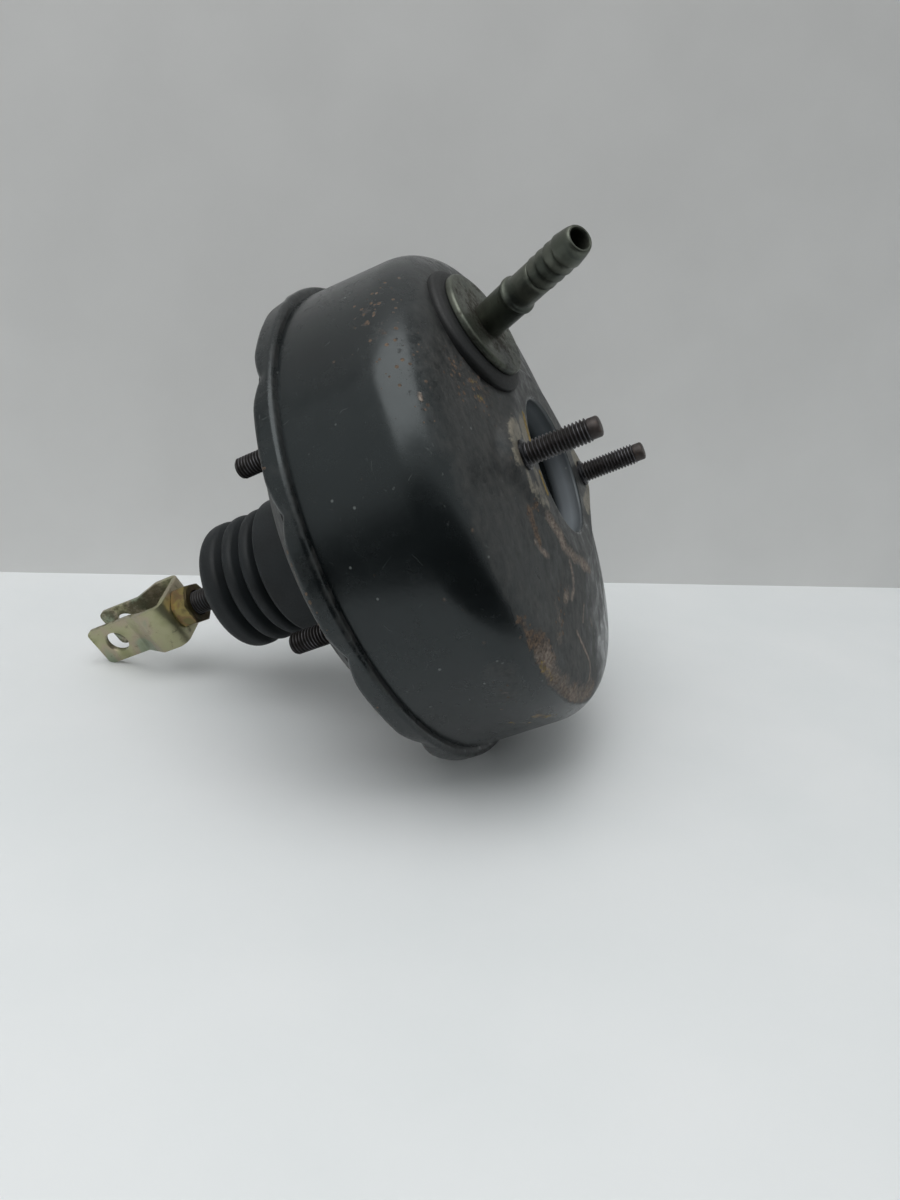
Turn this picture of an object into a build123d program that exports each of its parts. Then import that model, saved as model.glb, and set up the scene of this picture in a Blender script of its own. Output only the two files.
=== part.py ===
from build123d import *
from math import cos, radians, sin, tan
import os

# Brake booster, single diaphragm, 7 inch class.
# The firewall face is the plane X = 0 and its centre is the origin. +X points to the master
# cylinder, +Z is up, and the two master cylinder studs stand side by side along Y.

# Shells, pressed from one steel sheet
sheet = 1.6
body_depth = 77.5         # firewall face to master cylinder face
seam_x = 20.0             # front edge of the rolled rim
rim_radius = 92.0
rim_width = 8.0
rim_bend = 2.0
lip_reach = 2.3           # how far the rolled lip comes in from the rim
wall_step = 3.8           # from the rim in to the front shell's wall, behind its flare
wall_draft = 0.8          # how much the same wall comes in towards the shoulder
flare = 1.0
flare_length = 6.5
flare_bend = 6.0
shoulder_bend = 18.0
front_slope = 12.6        # degrees, sloping front zone
pad_radius = 33.0         # where the sloping front meets the flat of the pad
crimp_count = 12
crimp_ball = 8.0
crimp_depth = 1.8
crimp_back = 1.5          # centre of a crimp, behind the rim's rear face

# Master cylinder pad
opening_radius = 25.0
neck_depth = 17.5
neck_bend = 7.5           # between the neck's wall and its floor
seal_seat_radius = 12.5
pad_height = 36.0         # half height of the pad
pad_ear = 10.5            # radius of the pad round each stud
mc_stud_spacing = 82.0
mc_stud_length = 26.0

# Rear shell and its hub
rim_land = 8.0            # flat of the rim's rear face
dish_run = 14.0           # how far the dish comes in, to the firewall face
dish_bend = 4.0
hub_radius = 26.4
hub_length = 35.0
hub_lip_radius = 20.5
hub_bend = 1.8
stud_spacing_y = 80.0
stud_spacing_z = 66.0
firewall_stud_length = 24.0

# Studs and plates
stud_radius = 4.0
stud_shank_radius = 4.6   # pressed through the sheet and the plate
stud_head_radius = 7.0
stud_head = 2.2
stud_point_radius = 3.1
stud_point = 4.0
stud_nose = 0.6
plate = 2.5
plate_margin = 1.5        # the front plate's edge, inside the pad's pocket
front_plate_hole = 27.2
rear_plate_gap = 8.0      # its edge, in from the firewall face's edge
rear_plate_hole = 30.0

# Fits
slip = 0.05               # running fit, on radius
play = 0.3                # clear of a soft or moving neighbour
overrun = 5.0             # what a cut runs past

# Vacuum port
port_angle = 35.0         # degrees from +Z towards -Y
port_inset = 35.5         # from the rim in to the port
port_boss_radius = 20.5
port_boss = 2.0
port_hole_radius = 7.5
port_seal = 1.2
port_seal_radius = 18.5
flange_radius = 19.0
flange = 2.5
tube_lean = 30.0          # degrees, tube against flange
tube_turn = 20.6          # degrees, direction of the lean, from round the axis to outwards
tube_length = 50.0
tube_radius = 6.3
tube_step = 17.0
tube_collar_radius = 6.7
tube_collar = 1.4
hose_radius = 5.4
barb_radius = 6.1
barb_count = 3
barb_pitch = 7.0
barb_start = 27.0
tube_tip_radius = 4.7
tube_bore = 3.3
spigot_radius = 6.8
spigot = 4.0

# Power piston
piston_x = 24.0           # front face
piston_radius = 24.0
piston_rear = -61.0       # end of the neck
piston_neck_radius = 18.5
groove_x = 7.6            # rear face of the diaphragm's inner edge
groove_radius = 20.7
shell_gap = 1.2           # piston's shoulder to the rear shell
rod_pocket_radius = 12.0  # holds the reaction disc and the output rod's head
rod_pocket_x = 12.5
plunger_radius = 5.0
air_bore_radius = 14.5
air_bore_x = -8.5
stroke = 22.0
valve_travel = 1.5

# Diaphragm and its plate
rubber = 1.6
bead_height = 5.6
plate_sheet = 1.2
plate_flat_radius = 60.0
fold_gap = 9.4            # bead's foot to the plate's rim, room for the fold
plate_rim_x = 25.0
plate_dish_x = 17.0
fold_top = 29.0
fold_bend = 3.7
plate_bend = 4.0

# Springs
return_wire = 3.2
return_radius = 30.0
return_turns = 6.0
poppet_wire = 1.0
poppet_spring_radius = 11.8
poppet_turns = 5.0
input_wire = 1.4
input_spring_radius = 7.6
input_turns = 4.5

# Output rod
disc_thickness = 4.5
rod_head = 4.0
output_radius = 4.5
output_end_x = 62.0
screw_radius = 3.0
screw_depth = 9.0
screw_head_radius = 4.2
screw_head = 5.0
retainer_sheet = 0.8
retainer_skirt = 6.0

# Input rod, nut and clevis
ball_radius = 5.2
ball_x = -16.5
input_shank_radius = 4.0
thread_radius = 5.0
rod_end_x = -99.0
web_x = -92.5             # clevis face that the nut bears on
pin_x = -125.0
pin_bore = 5.05
clevis_turn = 36.0        # degrees, pin about the rod, as it was left on its thread
clevis_sheet = 2.6
clevis_half_width = 12.5
ear_half_width = 8.0
clevis_height = 20.5
ear_height = 18.0
ear_end = 10.5            # pin to the ear's end
ear_flat = 11.0           # pin to the joggle
joggle_end = 20.0         # pin to the far end of the joggle
clevis_bend = 4.5
nut_flats = 16.0
nut_thickness = 8.0

# Dust boot
boot_wall = 1.2
cuff_front_x = -6.0
cuff_rear_x = -37.5
lobe_count = 3
lobe_pitch = 8.0
lobe_radius = 26.2
lobe_width = 4.4
lobe_bend = 2.1
valley_radius = 22.4
valley_width = 1.6
valley_bend = 0.7
boot_end_bend = 3.6
boot_end_x = -66.0
boot_collar_radius = 8.5
boot_collar = 3.5

# Rear bearing and valve pieces
bearing_rear_x = -24.5
key_thickness = 2.4
key_width = 9.0
key_reach = 21.5
key_x = -4.0              # front face of the stop key
plunger_head_radius = 8.2
plunger_head_x = -10.5
plunger_end_x = -20.0
poppet_ring = 2.4
poppet_seat_radius = 6.6
vacuum_seat_radius = 9.4
vacuum_seat_wall = 1.8
vacuum_gap = 0.8          # how far the vacuum valve stands open at rest
passage_radius = 1.5
passage_reach = 13.8
poppet_tube_radius = 9.6
poppet_wall = 1.4
poppet_foot_x = -33.5
retainer_width = 3.0
retainer_lip_radius = 6.4
rod_collar_x = -46.5
rod_collar = 1.6
rod_collar_radius = 8.3
filter_x = -48.6
filter_length = 8.6
silencer_length = 2.4
keeper = 1.0
rod_swing = 2.5           # degrees, either way

lip_radius = rim_radius - lip_reach
wall_radius = rim_radius - wall_step
wall_front_radius = wall_radius - wall_draft
dish_radius = rim_radius - rim_land
face_radius = dish_radius - dish_run
bead_radius = rim_radius - sheet - play - 2 * slip
bead_foot_radius = bead_radius - bead_height
plate_rim_radius = bead_foot_radius - fold_gap
rear_plate_radius = face_radius - rear_plate_gap
port_radius = rim_radius - port_inset
rise = tan(radians(front_slope))
shoulder_x = body_depth - (wall_front_radius - pad_radius) * rise
rim_rear_x = seam_x - rim_width
neck_x = body_depth - neck_depth
lip_x = seam_x - sheet
stud_half_y = stud_spacing_y / 2
stud_half_z = stud_spacing_z / 2
bead_front_x = groove_x + rubber
plate_x = bead_front_x + play
plunger_front_x = rod_pocket_x - valve_travel
thread_lead = thread_radius - input_shank_radius
thread_x = boot_end_x - boot_collar - play - thread_lead
poppet_x = plunger_end_x - play
keeper_x = filter_x - filter_length - silencer_length
swing_room = (ball_x - keeper_x + keeper) * tan(radians(rod_swing))
filter_hole = input_shank_radius + swing_room + 2 * play


def strip(points, bends, thickness, side):
    """A strip of sheet along a bent line, as a flat outline."""
    with BuildSketch() as shape:
        with BuildLine():
            FilletPolyline(*points, radius=bends)
            offset(amount=thickness, side=side)
        make_face()
    return shape.sketch


def set_off(points, distance):
    """The same bent line, moved sideways to its right by a distance, with mitred corners."""
    moved = []
    for place, point in enumerate(points):
        here = Vector(*point)
        before = (here - Vector(*points[place - 1])).normalized() if place else None
        after = (Vector(*points[place + 1]) - here).normalized() if place + 1 < len(points) else None
        along = ((before or after) + (after or before)).normalized()
        side = Vector(along.Y, -along.X)
        first = before or after
        moved.append(here + side * (distance / side.dot(Vector(first.Y, -first.X))))
    return [(spot.X, spot.Y) for spot in moved]


def turned(label, *points):
    """A piece turned about the booster's axis from straight runs of (x, radius)."""
    with BuildPart() as piece:
        with BuildSketch(Plane.XZ):
            Polygon(*points, align=None)
        revolve(axis=Axis.X)
    piece.part.label = label
    return piece


def spring(start, end, radius, wire, turns):
    """A coil of round wire about the booster's axis, between two seats."""
    first, last = start + wire / 2 + play / 2, end - wire / 2 - play / 2
    with BuildPart() as coil:
        with BuildLine():
            path = Helix((last - first) / turns, last - first, radius, (first, 0, 0), (1, 0, 0))
        with BuildSketch(Plane(origin=path @ 0, z_dir=path % 0)):
            Circle(wire / 2)
        sweep()
    return coil


def stud(seat, length, outwards, head_seat):
    """Outline of one stud along X: head and shank inside, dog point at its tip."""
    tip = seat + outwards * length
    head_end = head_seat - outwards * stud_head
    point = tip - outwards * stud_point
    chamfer_x = point + outwards * (stud_radius - stud_point_radius)
    return [
        (head_end, 0), (head_end, stud_head_radius), (head_seat, stud_head_radius),
        (head_seat, stud_shank_radius), (seat, stud_shank_radius), (seat, stud_radius),
        (point, stud_radius), (chamfer_x, stud_point_radius),
        (tip - outwards * stud_nose, stud_point_radius), (tip, stud_point_radius - stud_nose), (tip, 0),
    ]


def pad_shape(grow):
    """The pad's outline seen along the axis: a disc with an ear round each stud."""
    with BuildSketch(mode=Mode.PRIVATE) as shape:
        Circle(pad_height + grow)
        with Locations((-mc_stud_spacing / 2, 0), (mc_stud_spacing / 2, 0)):
            Circle(pad_ear + grow)
        make_hull()
    return shape.sketch


across = Plane(origin=(0, 0, 0), x_dir=(0, 1, 0), z_dir=(1, 0, 0))
swing = radians(port_angle)
lean = radians(front_slope)
out = Vector(cos(lean), -sin(lean) * sin(swing), sin(lean) * cos(swing))
around = Vector(0, -cos(swing), -sin(swing))
outwards = around.cross(out)
port_foot = Vector(body_depth - (port_radius - pad_radius) * rise,
                   -port_radius * sin(swing), port_radius * cos(swing))
port = Plane(origin=port_foot, x_dir=around, z_dir=out)
turn = radians(tube_turn)
tilt = radians(tube_lean)
tube_axis = out * cos(tilt) + (around * cos(turn) + outwards * sin(turn)) * sin(tilt)

# Front shell
front_line = [
    (lip_x, bead_radius), (lip_x, wall_radius + flare), (lip_x + flare_length, wall_radius),
    (shoulder_x, wall_front_radius), (body_depth, pad_radius),
]
front_bends = [sheet / 4, flare_bend, shoulder_bend]
with BuildPart() as front_shell:
    with BuildSketch(Plane.XZ):
        with BuildLine():
            edge = FilletPolyline(*front_line, radius=front_bends)
            Polyline(edge @ 1, (body_depth, 0), (lip_x - sheet, 0), (lip_x - sheet, bead_radius), edge @ 0)
        make_face()
    revolve(axis=Axis.X)
    with BuildSketch(across.offset(shoulder_x)):
        add(pad_shape(0))
    extrude(amount=body_depth - shoulder_x)
    with BuildSketch(Plane.XZ):
        with BuildLine():
            inside = FilletPolyline(
                (lip_x - sheet - overrun, wall_radius - sheet),
                (lip_x + flare_length, wall_radius - sheet),
                (shoulder_x - sheet, wall_front_radius - sheet),
                (body_depth - sheet, pad_radius - sheet),
                radius=[flare_bend, shoulder_bend - sheet],
            )
            Polyline(inside @ 1, (body_depth - sheet, 0), (lip_x - sheet - overrun, 0), inside @ 0)
        make_face()
    revolve(axis=Axis.X, mode=Mode.SUBTRACT)
    with BuildSketch(across.offset(shoulder_x - overrun)):
        add(pad_shape(-sheet))
    extrude(amount=body_depth - sheet - shoulder_x + overrun, mode=Mode.SUBTRACT)
    with BuildSketch(across.offset(body_depth - sheet - play)):
        Circle(opening_radius)
    extrude(amount=sheet + overrun, mode=Mode.SUBTRACT)
    with BuildSketch(Plane.XZ):
        add(strip(
            [(body_depth, opening_radius), (neck_x, opening_radius), (neck_x, seal_seat_radius)],
            [neck_bend], sheet, Side.RIGHT,
        ))
    revolve(axis=Axis.X)
    with BuildSketch(port.offset(-sheet)):
        Circle(port_boss_radius)
    extrude(amount=sheet + port_boss)
    with BuildSketch(port.offset(-sheet - overrun)):
        Circle(port_hole_radius)
    extrude(amount=sheet + 3 * overrun, mode=Mode.SUBTRACT)
    with BuildSketch(port.offset(-sheet - overrun)):
        Circle(port_boss_radius - sheet)
    extrude(amount=overrun + port_boss, mode=Mode.SUBTRACT)
    with BuildSketch(across.offset(body_depth - sheet - overrun)):
        with Locations((-mc_stud_spacing / 2, 0), (mc_stud_spacing / 2, 0)):
            Circle(stud_shank_radius + slip)
    extrude(amount=sheet + 2 * overrun, mode=Mode.SUBTRACT)
front_shell.part.label = "front_shell"

# Rear shell, with its rim rolled over the front shell's flange and crimped
rear_line = [
    (seam_x, lip_radius), (seam_x, rim_radius), (rim_rear_x, rim_radius), (rim_rear_x, dish_radius),
    (0, face_radius), (0, hub_radius), (-hub_length, hub_radius), (-hub_length, hub_lip_radius),
]
rear_bends = [sheet + play, rim_bend, dish_bend, dish_bend, hub_bend, hub_bend]
with BuildPart() as rear_shell:
    with BuildSketch(Plane.XZ):
        add(strip(rear_line, rear_bends, sheet, Side.LEFT))
    revolve(axis=Axis.X)
    crimp_out = rim_radius + crimp_ball - crimp_depth
    for place in range(crimp_count):
        bearing = radians(360 * place / crimp_count)
        with Locations((rim_rear_x - crimp_back, crimp_out * cos(bearing), crimp_out * sin(bearing))):
            Sphere(crimp_ball, mode=Mode.SUBTRACT)
    with BuildSketch(across.offset(-overrun)):
        with GridLocations(stud_spacing_y, stud_spacing_z, 2, 2):
            Circle(stud_shank_radius + slip)
    extrude(amount=2 * overrun, mode=Mode.SUBTRACT)
rear_shell.part.label = "rear_shell"

# Reinforcement plates, which hold the studs' heads inside the shells
with BuildPart() as front_plate:
    with BuildSketch(across.offset(body_depth - sheet - plate)):
        add(pad_shape(-sheet - plate_margin))
        Circle(front_plate_hole, mode=Mode.SUBTRACT)
        with Locations((-mc_stud_spacing / 2, 0), (mc_stud_spacing / 2, 0)):
            Circle(stud_shank_radius + slip, mode=Mode.SUBTRACT)
    extrude(amount=plate)
front_plate.part.label = "front_reinforcement"

with BuildPart() as rear_plate:
    with BuildSketch(across.offset(sheet)):
        Circle(rear_plate_radius)
        Circle(rear_plate_hole, mode=Mode.SUBTRACT)
        with GridLocations(stud_spacing_y, stud_spacing_z, 2, 2):
            Circle(stud_shank_radius + slip, mode=Mode.SUBTRACT)
    extrude(amount=plate)
rear_plate.part.label = "rear_reinforcement"

# Studs: two for the master cylinder, four for the firewall
with BuildPart() as mc_studs:
    for side in (-1, 1):
        foot = (0, side * mc_stud_spacing / 2, 0)
        with BuildSketch(Plane(origin=foot, x_dir=(1, 0, 0), z_dir=(0, -1, 0))):
            Polygon(*stud(body_depth, mc_stud_length, 1, body_depth - sheet - plate), align=None)
        revolve(axis=Axis(foot, (1, 0, 0)))
mc_studs.part.label = "master_cylinder_studs"

with BuildPart() as firewall_studs:
    for side in (-1, 1):
        for level in (-1, 1):
            foot = (0, side * stud_half_y, level * stud_half_z)
            with BuildSketch(Plane(origin=foot, x_dir=(1, 0, 0), z_dir=(0, -1, 0))):
                Polygon(*stud(0, firewall_stud_length, -1, sheet + plate), align=None)
            revolve(axis=Axis(foot, (1, 0, 0)))
firewall_studs.part.label = "firewall_studs"

# Vacuum port: seal, and nipple with its leaning hose tube
with BuildPart() as port_seal_ring:
    with BuildSketch(port.offset(port_boss)):
        Circle(port_seal_radius)
        Circle(spigot_radius + 2 * slip, mode=Mode.SUBTRACT)
    extrude(amount=port_seal)
port_seal_ring.part.label = "port_seal"

seat = port.offset(port_boss + port_seal)
tube_foot = seat.origin + out * flange
tube = Plane(origin=tube_foot, x_dir=tube_axis.cross(out), z_dir=tube_axis)
tube_root = -tube_radius * tan(tilt) - overrun / 2
barbs = []
for step in range(barb_count):
    start = barb_start + step * barb_pitch
    barbs += [(hose_radius, start), (barb_radius, start + barb_radius - hose_radius),
              (barb_radius, start + 2 * (barb_radius - hose_radius)),
              (hose_radius, start + barb_pitch - barb_radius + hose_radius)]
tube_profile = [
    (0, tube_root), (tube_radius, tube_root), (tube_radius, tube_step),
    (tube_collar_radius, tube_step + tube_collar / 2),
    (tube_collar_radius, tube_step + tube_collar), (hose_radius, tube_step + 2 * tube_collar),
    *barbs, (hose_radius, tube_length - 2 * (hose_radius - tube_tip_radius)),
    (tube_tip_radius, tube_length), (0, tube_length),
]
with BuildPart() as nipple:
    with BuildSketch(Plane(origin=tube.origin, x_dir=tube.x_dir, z_dir=tube.x_dir.cross(tube.z_dir))):
        Polygon(*tube_profile, align=None)
    revolve(axis=Axis(tube.origin, tube.z_dir))
    with BuildSketch(seat.offset(-4 * overrun)):
        Circle(2 * flange_radius)
    extrude(amount=4 * overrun, mode=Mode.SUBTRACT)
    with BuildSketch(seat):
        Circle(flange_radius)
    extrude(amount=flange)
    fillet(edges().filter_by(GeomType.CIRCLE).filter_by(lambda e: abs(e.radius - flange_radius) < play),
           radius=flange / 4)
    with BuildSketch(seat.offset(-spigot)):
        Circle(spigot_radius)
    extrude(amount=spigot)
    with BuildSketch(tube.offset(tube_length)):
        Circle(tube_bore)
    extrude(amount=-tube_length - flange / 2, mode=Mode.SUBTRACT)
    with BuildSketch(seat.offset(-spigot)):
        Circle(tube_bore)
    extrude(amount=spigot + flange / 2, mode=Mode.SUBTRACT)
nipple.part.label = "vacuum_nipple"

# Front seal in the neck's floor, round the output rod
front_seal = turned(
    "front_seal",
    (neck_x - sheet - 2 * sheet, output_radius + slip), (neck_x + sheet, output_radius + slip),
    (neck_x + sheet, seal_seat_radius + 2 * sheet), (neck_x, seal_seat_radius + 2 * sheet),
    (neck_x, seal_seat_radius - slip), (neck_x - sheet, seal_seat_radius - slip),
    (neck_x - sheet, seal_seat_radius + sheet), (neck_x - 3 * sheet, seal_seat_radius + sheet),
)

# Diaphragm and the plate that it pushes
plate_line = [
    (plate_rim_x, plate_rim_radius), (plate_dish_x, plate_rim_radius),
    (plate_x, plate_flat_radius), (plate_x, piston_radius + play),
]
with BuildPart() as diaphragm_plate:
    with BuildSketch(Plane.XZ):
        add(strip(plate_line, [plate_bend, plate_bend], plate_sheet, Side.LEFT))
    revolve(axis=Axis.X)
diaphragm_plate.part.label = "diaphragm_plate"

behind_plate = set_off(plate_line, play + rubber)
bead_back_x = rim_rear_x + sheet + play
bead_end_x = lip_x - sheet - play
with BuildPart() as diaphragm:
    with BuildSketch(Plane.XZ):
        add(strip(
            [(bead_back_x, bead_foot_radius), (fold_top - rubber, bead_foot_radius),
             (fold_top - rubber, behind_plate[0][1]), *behind_plate[1:3],
             (groove_x, groove_radius + play)],
            [fold_bend, fold_bend, plate_bend, plate_bend], rubber, Side.LEFT,
        ))
        Polygon(
            (bead_back_x, bead_foot_radius), (bead_end_x, bead_foot_radius),
            (bead_end_x, bead_radius), (bead_back_x, bead_radius), align=None,
        )
    revolve(axis=Axis.X)
diaphragm.part.label = "diaphragm"

# Power piston, whose neck slides in the hub, with a slot for the stop key
key_back_x = key_x - key_thickness
with BuildPart() as piston:
    with BuildSketch(Plane.XZ):
        Polygon(
            (piston_x, rod_pocket_radius), (piston_x, piston_radius), (bead_front_x + play, piston_radius),
            (bead_front_x + play, groove_radius), (groove_x - play, groove_radius),
            (groove_x - play, piston_radius), (sheet + shell_gap, piston_radius),
            (sheet + shell_gap, piston_neck_radius), (piston_rear, piston_neck_radius),
            (piston_rear, air_bore_radius), (air_bore_x, air_bore_radius),
            (air_bore_x, plunger_radius + slip), (rod_pocket_x, plunger_radius + slip),
            (rod_pocket_x, rod_pocket_radius), align=None,
        )
    revolve(axis=Axis.X)
    with BuildSketch(Plane.XZ):
        Polygon(
            (key_back_x - play, -plunger_radius - play), (key_x + valve_travel + play, -plunger_radius - play),
            (key_x + valve_travel + play, piston_radius), (key_back_x - play, piston_radius), align=None,
        )
    extrude(amount=key_width / 2 + play, both=True, mode=Mode.SUBTRACT)
    with BuildSketch(across.offset(plunger_end_x + vacuum_gap)):
        Circle(vacuum_seat_radius + vacuum_seat_wall)
        Circle(vacuum_seat_radius, mode=Mode.SUBTRACT)
    extrude(amount=air_bore_x - plunger_end_x)
    with BuildSketch(across.offset(air_bore_x - play)):
        with Locations((-passage_reach, 0), (passage_reach, 0)):
            Circle(passage_radius)
    extrude(amount=piston_x - air_bore_x + overrun, mode=Mode.SUBTRACT)
piston.part.label = "power_piston"

# Valve plunger and its stop key
neck_groove_radius = plunger_radius - 2 * play - slip
with BuildPart() as plunger:
    with BuildSketch(Plane.XZ):
        Polygon(
            (plunger_front_x, 0), (plunger_front_x, plunger_radius), (key_x + slip, plunger_radius),
            (key_x + slip, neck_groove_radius), (key_back_x - slip, neck_groove_radius),
            (key_back_x - slip, plunger_radius), (plunger_head_x, plunger_radius),
            (plunger_head_x, plunger_head_radius), (plunger_end_x, plunger_head_radius),
            (plunger_end_x, 0), align=None,
        )
    revolve(axis=Axis.X)
    with Locations((ball_x, 0, 0)):
        Sphere(ball_radius + slip, mode=Mode.SUBTRACT)
    with BuildSketch(across.offset(plunger_end_x - play)):
        Circle(ball_radius - 2 * play)
    extrude(amount=play + (ball_x - plunger_end_x) / 2, mode=Mode.SUBTRACT)
plunger.part.label = "valve_plunger"

with BuildPart() as key:
    with BuildSketch(across.offset(key_back_x)):
        with BuildLine():
            Polyline(
                (-key_width / 2, -plunger_radius), (-key_width / 2, key_reach),
                (key_width / 2, key_reach), (key_width / 2, -plunger_radius), close=True,
            )
        make_face()
        Circle(neck_groove_radius + slip, mode=Mode.SUBTRACT)
        with Locations((0, -plunger_radius)):
            Rectangle(2 * (neck_groove_radius + slip), 2 * plunger_radius, mode=Mode.SUBTRACT)
    extrude(amount=key_thickness)
key.part.label = "stop_key"

# Poppet valve, its spring and its retainer
poppet_back_x = poppet_x - poppet_ring
tube_out = poppet_tube_radius + poppet_wall
poppet = turned(
    "poppet_valve",
    (poppet_x, poppet_seat_radius), (poppet_x, air_bore_radius - 2 * play),
    (poppet_back_x, air_bore_radius - 2 * play), (poppet_back_x, tube_out), (poppet_foot_x, tube_out),
    (poppet_foot_x, air_bore_radius - play), (poppet_foot_x - poppet_wall, air_bore_radius - play),
    (poppet_foot_x - poppet_wall, poppet_tube_radius), (poppet_back_x, poppet_tube_radius),
    (poppet_back_x, poppet_seat_radius),
)
retainer_x = poppet_foot_x - poppet_wall - play
valve_retainer = turned(
    "valve_retainer",
    (retainer_x, poppet_tube_radius), (retainer_x, air_bore_radius - slip),
    (retainer_x - retainer_width, air_bore_radius - slip),
    (retainer_x - retainer_width, retainer_lip_radius),
    (retainer_x - retainer_width + poppet_wall, retainer_lip_radius),
    (retainer_x - retainer_width + poppet_wall, poppet_tube_radius),
)
poppet_spring = spring(poppet_foot_x, poppet_back_x, poppet_spring_radius, poppet_wire, poppet_turns)
poppet_spring.part.label = "poppet_spring"
input_spring = spring(rod_collar_x, retainer_x - retainer_width, input_spring_radius, input_wire, input_turns)
input_spring.part.label = "input_spring"

# Air filter, silencer felt and the keeper that closes the neck
bore_fit = air_bore_radius - play
air_filter = turned(
    "air_filter",
    (filter_x, filter_hole), (filter_x, bore_fit),
    (filter_x - filter_length, bore_fit), (filter_x - filter_length, filter_hole),
)
silencer = turned(
    "silencer_felt",
    (filter_x - filter_length, filter_hole), (filter_x - filter_length, bore_fit),
    (keeper_x, bore_fit), (keeper_x, filter_hole),
)
filter_keeper = turned(
    "filter_keeper",
    (keeper_x, filter_hole), (keeper_x, air_bore_radius - slip),
    (keeper_x - keeper, air_bore_radius - slip), (keeper_x - keeper, filter_hole),
)

# Reaction disc, output rod with its adjusting screw, and their retainer
disc_x = rod_pocket_x + play
head_x = disc_x + disc_thickness + play
reaction_disc = turned(
    "reaction_disc",
    (disc_x, 0), (disc_x, rod_pocket_radius - play),
    (disc_x + disc_thickness, rod_pocket_radius - play), (disc_x + disc_thickness, 0),
)
output_rod = turned(
    "output_rod",
    (head_x, 0), (head_x, rod_pocket_radius - slip), (head_x + rod_head, rod_pocket_radius - slip),
    (head_x + rod_head, output_radius), (output_end_x, output_radius),
    (output_end_x, screw_radius + slip), (output_end_x - screw_depth - play, screw_radius + slip),
    (output_end_x - screw_depth - play, 0),
)
with BuildPart() as output_screw:
    with BuildSketch(Plane.XZ):
        Polygon(
            (output_end_x - screw_depth, 0), (output_end_x - screw_depth, screw_radius),
            (output_end_x, screw_radius), (output_end_x, screw_head_radius),
            (output_end_x + screw_head, screw_head_radius), (output_end_x + screw_head, 0), align=None,
        )
    revolve(axis=Axis.X)
    fillet(faces().sort_by(Axis.X)[-1].edges(), radius=screw_head_radius / 2)
output_screw.part.label = "output_screw"

cap_x = piston_x + slip
cap_radius = piston_radius + slip
with BuildPart() as rod_retainer:
    with BuildSketch(Plane.XZ):
        Polygon(
            (piston_x - retainer_skirt, cap_radius), (cap_x, cap_radius), (cap_x, output_radius + play),
            (cap_x + retainer_sheet, output_radius + play),
            (cap_x + retainer_sheet, cap_radius + retainer_sheet),
            (piston_x - retainer_skirt, cap_radius + retainer_sheet), align=None,
        )
    revolve(axis=Axis.X)
    with BuildSketch(across.offset(piston_x)):
        with Locations((-passage_reach, 0), (passage_reach, 0)):
            Circle(passage_radius + play)
    extrude(amount=overrun, mode=Mode.SUBTRACT)
rod_retainer.part.label = "output_retainer"
return_spring = spring(
    plate_x + plate_sheet, body_depth - sheet - plate, return_radius, return_wire, return_turns
)
return_spring.part.label = "return_spring"

# Bearing and seal that carry the piston's neck in the hub
hub_bore = hub_radius - sheet - slip
neck_fit = piston_neck_radius + slip
seal_end_x = sheet - hub_length
rear_bearing = turned(
    "rear_bearing",
    (key_back_x - slip, neck_fit), (key_back_x - slip, hub_bore),
    (bearing_rear_x, hub_bore), (bearing_rear_x, neck_fit),
)
seal_middle_x = (bearing_rear_x + seal_end_x) / 2
rear_seal = turned(
    "rear_seal",
    (bearing_rear_x, neck_fit), (bearing_rear_x, hub_bore), (seal_end_x + play, hub_bore),
    (seal_end_x, hub_bore - play), (seal_end_x, neck_fit), (seal_end_x + sheet, neck_fit),
    (seal_middle_x, neck_fit + sheet), (bearing_rear_x - sheet, neck_fit),
)

# Input rod with its ball, lock nut and clevis
with BuildPart() as input_rod:
    with BuildSketch(Plane.XZ):
        Polygon(
            (ball_x, 0), (ball_x, input_shank_radius), (rod_collar_x, input_shank_radius),
            (rod_collar_x, rod_collar_radius), (rod_collar_x - rod_collar, rod_collar_radius),
            (rod_collar_x - rod_collar, input_shank_radius),
            (thread_x + thread_lead, input_shank_radius),
            (thread_x, thread_radius), (rod_end_x + thread_lead, thread_radius),
            (rod_end_x, input_shank_radius), (rod_end_x, 0), align=None,
        )
    revolve(axis=Axis.X)
    with Locations((ball_x, 0, 0)):
        Sphere(ball_radius)
input_rod.part.label = "input_rod"

nut_corner = nut_flats / 2 / cos(radians(30))
nut_edge = nut_corner - nut_flats / 2
with BuildPart() as lock_nut:
    with BuildSketch(across.offset(web_x)):
        RegularPolygon(nut_flats / 2, 6, major_radius=False, rotation=clevis_turn)
        Circle(thread_radius + slip, mode=Mode.SUBTRACT)
    extrude(amount=nut_thickness)
    with BuildSketch(Plane.XZ):
        Polygon(
            (web_x, 0), (web_x, nut_flats / 2), (web_x + nut_edge / 2, nut_corner),
            (web_x + nut_thickness - nut_edge / 2, nut_corner), (web_x + nut_thickness, nut_flats / 2),
            (web_x + nut_thickness, 0), align=None,
        )
    revolve(axis=Axis.X, mode=Mode.INTERSECT)
lock_nut.part.label = "lock_nut"

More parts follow.
